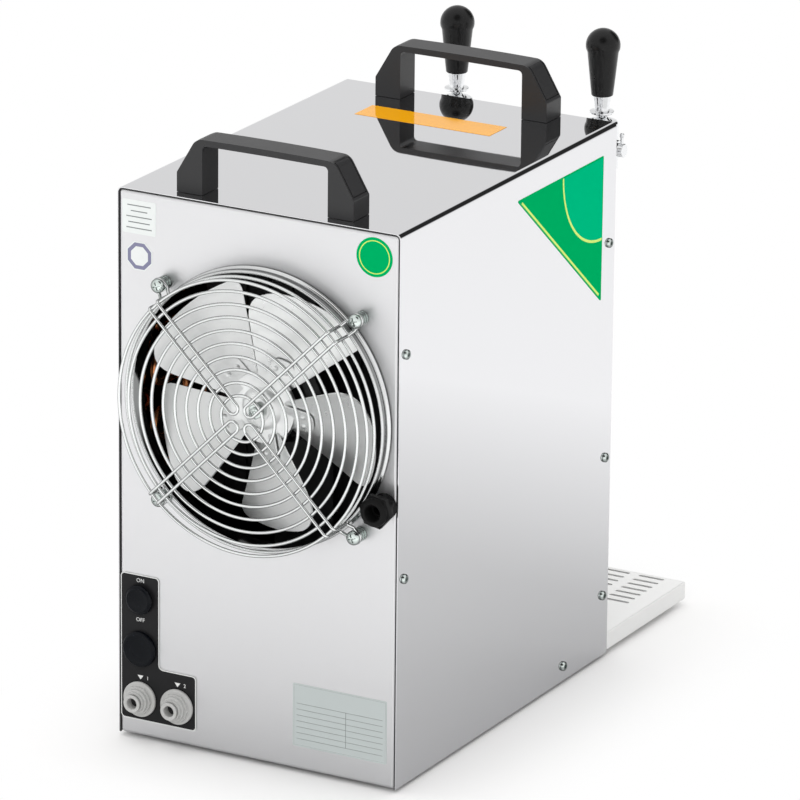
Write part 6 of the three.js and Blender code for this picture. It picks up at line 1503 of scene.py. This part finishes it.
# %% Fold the tray
tray_low, tray_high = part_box("drip_tray")
TRAY_BACK = FRONT - SEAT_GAP
TRAY_FLOOR, TRAY_BEND = 0.0056, 0.0018
TONGUE_INSET, TONGUE_LAP, TONGUE_REACH = 0.0003, 0.0006, 0.022
bm = bmesh.new()
block(bm, (tray_low.x, tray_low.y, TRAY_FLOOR), (tray_high.x, TRAY_BACK, tray_high.z))
fold_sheet(bm, [f for f in bm.faces if f.normal.z > 0.5], TRAY_BEND, 4)
soften(bm, EDGE_LINE, least=60)
tongue_half = TONGUE_HALF - TONGUE_INSET
for side in (-1, 1):
    x = side * TONGUE_SPREAD
    block(bm, (x - tongue_half, TRAY_BACK - TONGUE_LAP, TONGUE_FOOT + TONGUE_INSET),
          (x + tongue_half, TRAY_BACK + TONGUE_REACH, TONGUE_HEAD - TONGUE_INSET))
settle(bm, "tray_box", [tray_steel], body="tray", stands_for=["drip_tray"], slot="satin_steel", sharp=30)

# %% Slot the grille
grille_low, grille_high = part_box("drip_grille")
SLOT_LENGTH, SLOT_WIDTH, SLOT_ROWS, SLOT_COLUMNS = 0.027, 0.004, 7, 7
COLUMN_PITCH, ROW_PITCH, FIRST_ROW = 0.0366, 0.0122, -0.29838
BAR_HALF = 0.004
RAIL_SPREAD, RAIL_HALF, RAIL_INSET, RAIL_LAP = 0.133, 0.0009, 0.006, 0.0002
PLATE_TOP = grille_high.z
half = (SLOT_LENGTH - SLOT_WIDTH) / 2
round_end = SLOT_WIDTH / 2
bm = bmesh.new()
block(bm, (grille_low.x, grille_low.y, PLATE_TOP - SHEET), (grille_high.x, grille_high.y, PLATE_TOP))
tool = bmesh.new()
for row in range(SLOT_ROWS):
    for column in range(SLOT_COLUMNS):
        middle = Vector(((column - (SLOT_COLUMNS - 1) / 2) * COLUMN_PITCH,
                         FIRST_ROW + row * ROW_PITCH, PLATE_TOP - BAR_HALF))
        ends = arc(middle + SIDE * half, -math.pi / 2, math.pi / 2, SIDE, OUT, round_end, 6)
        ends += arc(middle - SIDE * half, math.pi / 2, 3 * math.pi / 2, SIDE, OUT, round_end, 6)
        slab(tool, ends, UP * 2 * BAR_HALF)
bm = carve(bm, tool)
soften(bm, EDGE_LINE, segments=1, least=60)
for side in (-1, 1):
    x = side * RAIL_SPREAD
    block(bm, (x - RAIL_HALF, grille_low.y + RAIL_INSET, grille_low.z),
          (x + RAIL_HALF, grille_high.y - RAIL_INSET, PLATE_TOP - SHEET + RAIL_LAP))
settle(bm, "grille_plate", [tray_steel], body="grille", stands_for=["drip_grille"],
       slot="satin_steel", sharp=30)

# %% [markdown]
# ## Feet
# Four rubber feet, turned with a rounded lower rim.

# %% Turn the feet
for k in range(1, 5):
    low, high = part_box(f"foot_{k}")
    centre = Vector(((low.x + high.x) / 2, (low.y + high.y) / 2, 0))
    radius, top = (high.x - low.x) / 2, high.z
    foot_profile = [(0, 0), (radius * 0.78, 0), (radius * 0.90, 0.0004), (radius * 0.97, 0.0014),
                    (radius, top * 0.6), (radius, top), (0, top)]
    turn_piece(f"foot_{k}_rubber", foot_profile, centre, UP, 36, black_rubber, stands_for=[f"foot_{k}"],
               slot="black_rubber", sharp=45)

# %% [markdown]
# ## Labels
# The labels hold plain shapes in the colours of the picture: a disc with a ring, an eight-sided
# badge, a pale rectangle with ruled lines, a plate with blank ruled rows, a green triangle with a
# lime edge and an arc, and an orange strip. Each is a thin slab on the sheet.

# %% Draw a label
FILM = 0.00025
LABEL_CORNER = 0.0015


def label(name, outline, depth, materials, rim=None, second=None):
    """A thin slab. An inset ring takes the second material: `rim` wide, or `second` wide inside it."""
    bm = bmesh.new()
    slab(bm, outline, depth)
    bmesh.ops.recalc_face_normals(bm, faces=bm.faces)
    top = [f for f in bm.faces if f.normal.dot(depth.normalized()) > 0.9]
    for width in (rim, second):
        if width:
            ring = bmesh.ops.inset_region(bm, faces=top, thickness=width, use_even_offset=True)
    if rim:
        for f in ring["faces"]:
            f.material_index = 1
    settle(bm, name, materials, slot="satin_steel")


def rectangle(x0, z0, x1, z1, y):
    return [Vector((x0, y, z0)), Vector((x1, y, z0)), Vector((x1, y, z1)), Vector((x0, y, z1))]


def rule(name, x0, z0, x1, z1):
    """A printed line on a label at the back."""
    label(name, rectangle(x0, z0, x1, z1, REAR + FILM), OUT * FILM * 0.4, [ink_grey])


# %% Cut the labels at the back
DISC, DISC_RADIUS = Vector((-0.1175, REAR, 0.4957)), 0.018
BADGE, BADGE_RADIUS, BADGE_TURN = Vector((0.1207, REAR, 0.4587)), 0.0142, math.pi / 8
PALE_LABEL = (0.1038, 0.479, 0.1382, 0.510)
PALE_MIDDLE, PALE_TOP_RULE, PALE_PITCH, PALE_LINE = 0.121, 0.5045, 0.0052, 0.0009
RATING_PLATE = (-0.134, 0.0262, -0.038, 0.086)
RULE_FROM, RULE_TO, FIRST_RULE, RULE_PITCH, FINE_LINE = -0.130, -0.042, 0.0335, 0.0056, 0.00035
COLUMN_FROM, COLUMN_TO, COLUMN_TOP = -0.0925, -0.0921, 0.0674
label("green_disc", arc(DISC, 0, math.tau, SIDE, UP, DISC_RADIUS, 64)[:-1], OUT * FILM,
      [sticker_green, sticker_lime], rim=0.0026, second=0.0009)
badge_outline = arc(BADGE, BADGE_TURN, math.tau + BADGE_TURN, SIDE, UP, BADGE_RADIUS, 8)[:-1]
label("badge", badge_outline, OUT * FILM, [sticker_pale, sticker_violet], rim=0.0010, second=0.0034)
label("pale_label", round_off(rectangle(*PALE_LABEL, REAR), LABEL_CORNER, 4), OUT * FILM, [sticker_pale])
for k, width in enumerate((0.024, 0.017, 0.026, 0.022, 0.026)):
    z = PALE_TOP_RULE - PALE_PITCH * k
    rule(f"pale_rule_{k + 1}", PALE_MIDDLE - width / 2, z, PALE_MIDDLE + width / 2, z + PALE_LINE)
label("rating_plate", round_off(rectangle(*RATING_PLATE, REAR), LABEL_CORNER, 4), OUT * FILM,
      [sticker_mint, ink_grey], rim=0.0012, second=0.0002)
for k in range(7):
    z = FIRST_RULE + RULE_PITCH * k
    rule(f"ruled_row_{k + 1}", RULE_FROM, z, RULE_TO, z + FINE_LINE)
rule("ruled_column", COLUMN_FROM, FIRST_RULE, COLUMN_TO, COLUMN_TOP)

# %% Cut the side triangle and the top strip
EDGE_INSET, EDGE_WIDTH, EDGE_SHORT = 0.0016, 0.0022, 0.009
QUARTER, QUARTER_LINE = 0.076, 0.0024
STRIP_X, STRIP_Y = (0.0759, -0.0645), (-0.0759, -0.0424)
off_side = -SIDE * FILM
corner_rear = Vector((-HALF_WIDTH, 0.0510, 0.4946))
corner_front = Vector((-HALF_WIDTH, -0.1158, 0.4949))
corner_low = Vector((-HALF_WIDTH, -0.1154, 0.3556))
label("green_triangle", round_off([corner_rear, corner_front, corner_low], 0.0012, 4), off_side,
      [sticker_green])
run = (corner_low - corner_rear).normalized()
inward = run.cross(SIDE)
if inward.dot(corner_front - corner_rear) < 0:
    inward = -inward
edge_start = corner_rear + inward * EDGE_INSET + run * EDGE_SHORT + off_side
edge_end = corner_low + inward * EDGE_INSET - run * EDGE_SHORT + off_side
lime_outline = [edge_start, edge_end, edge_end + inward * EDGE_WIDTH, edge_start + inward * EDGE_WIDTH]
label("lime_edge", lime_outline, off_side * 0.4, [sticker_lime])
centre_point = corner_front + Vector((0, EDGE_INSET, -EDGE_INSET)) + off_side
quarter_rim = arc(centre_point, -math.pi / 2, 0, OUT, UP, QUARTER, 24)
label("triangle_quarter", [centre_point, *quarter_rim], off_side * 0.3, [sticker_fresh])
band = quarter_rim + arc(centre_point, 0, -math.pi / 2, OUT, UP, QUARTER + QUARTER_LINE, 24)
label("triangle_arc", band, off_side * 0.4, [sticker_lime])
strip = [Vector((STRIP_X[i], STRIP_Y[j], TOP)) for i, j in ((0, 0), (1, 0), (1, 1), (0, 1))]
label("orange_strip", strip, UP * FILM, [sticker_orange])

# %% [markdown]
# ## Copper bends beside the fan
# Through the left of the guard the picture shows copper: the last row of the condenser's tubes, bent
# back and forth beside the fan. One path of straight runs and half circles is swept as a tube. It
# starts and ends in the condenser's own coil.

# %% Bend the last condenser row
coil_low, coil_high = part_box("condenser_coil")
TUBE, LOOP_PITCH, LOOPS = 0.0038, 0.026, 8
LOOP_REAR, LOOP_FRONT = 0.228, 0.198
coil_point = Vector(((coil_low.x + coil_high.x) / 2, coil_high.y - TUBE, coil_low.z + TUBE))
column = Vector((0.120, 0, coil_low.z + TUBE))
path = [coil_point]
for k in range(LOOPS):
    level_z = column.z + k * LOOP_PITCH
    going_out = k % 2 == 0
    start_y, end_y = (LOOP_FRONT, LOOP_REAR) if going_out else (LOOP_REAR, LOOP_FRONT)
    path.append(Vector((column.x, start_y, level_z)))
    if k < LOOPS - 1:
        bend = Vector((column.x, end_y, level_z + LOOP_PITCH / 2))
        outwards = OUT if going_out else -OUT
        path += arc(bend, -math.pi / 2, math.pi / 2, outwards, UP, LOOP_PITCH / 2, 10)
    else:
        path.append(Vector((column.x, end_y, level_z)))
path.append(Vector((coil_point.x, coil_point.y, path[-1].z + LOOP_PITCH / 2)))
bm = bmesh.new()
tube(bm, path, TUBE)
settle(bm, "condenser_last_row", [copper_tube], slot="copper_tube", sharp=60)

# %% [markdown]
# ## Parts inside
# The parts behind the fan keep their construction shapes and only take a finish, chosen from the
# material slot that the model's record gives each of them. The motor's stand is given a darker finish
# than its slot, as painted shade: it stands in the shade inside the cabinet.

# %% Finish the construction parts that still show
# The motor's stand takes the dark finish as painted shade, not as its own colour.
SHADE_FINISHES = {"motor_stand": painted_shade_steel}
slots_of = {part["node"]: part["material_slot"] for part in frame["record"]["subparts"]}
for node, part in frame["nodes"].items():
    if part.hide_render:
        continue
    part.data.materials.clear()
    part.data.materials.append(SHADE_FINISHES.get(node, FINISHES[slots_of[node]]))
    print("construction part", node, slots_of[node])

# %% Write the sizes and finish
low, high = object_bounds()
print("dressed part", [round(x, 4) for x in high - low])
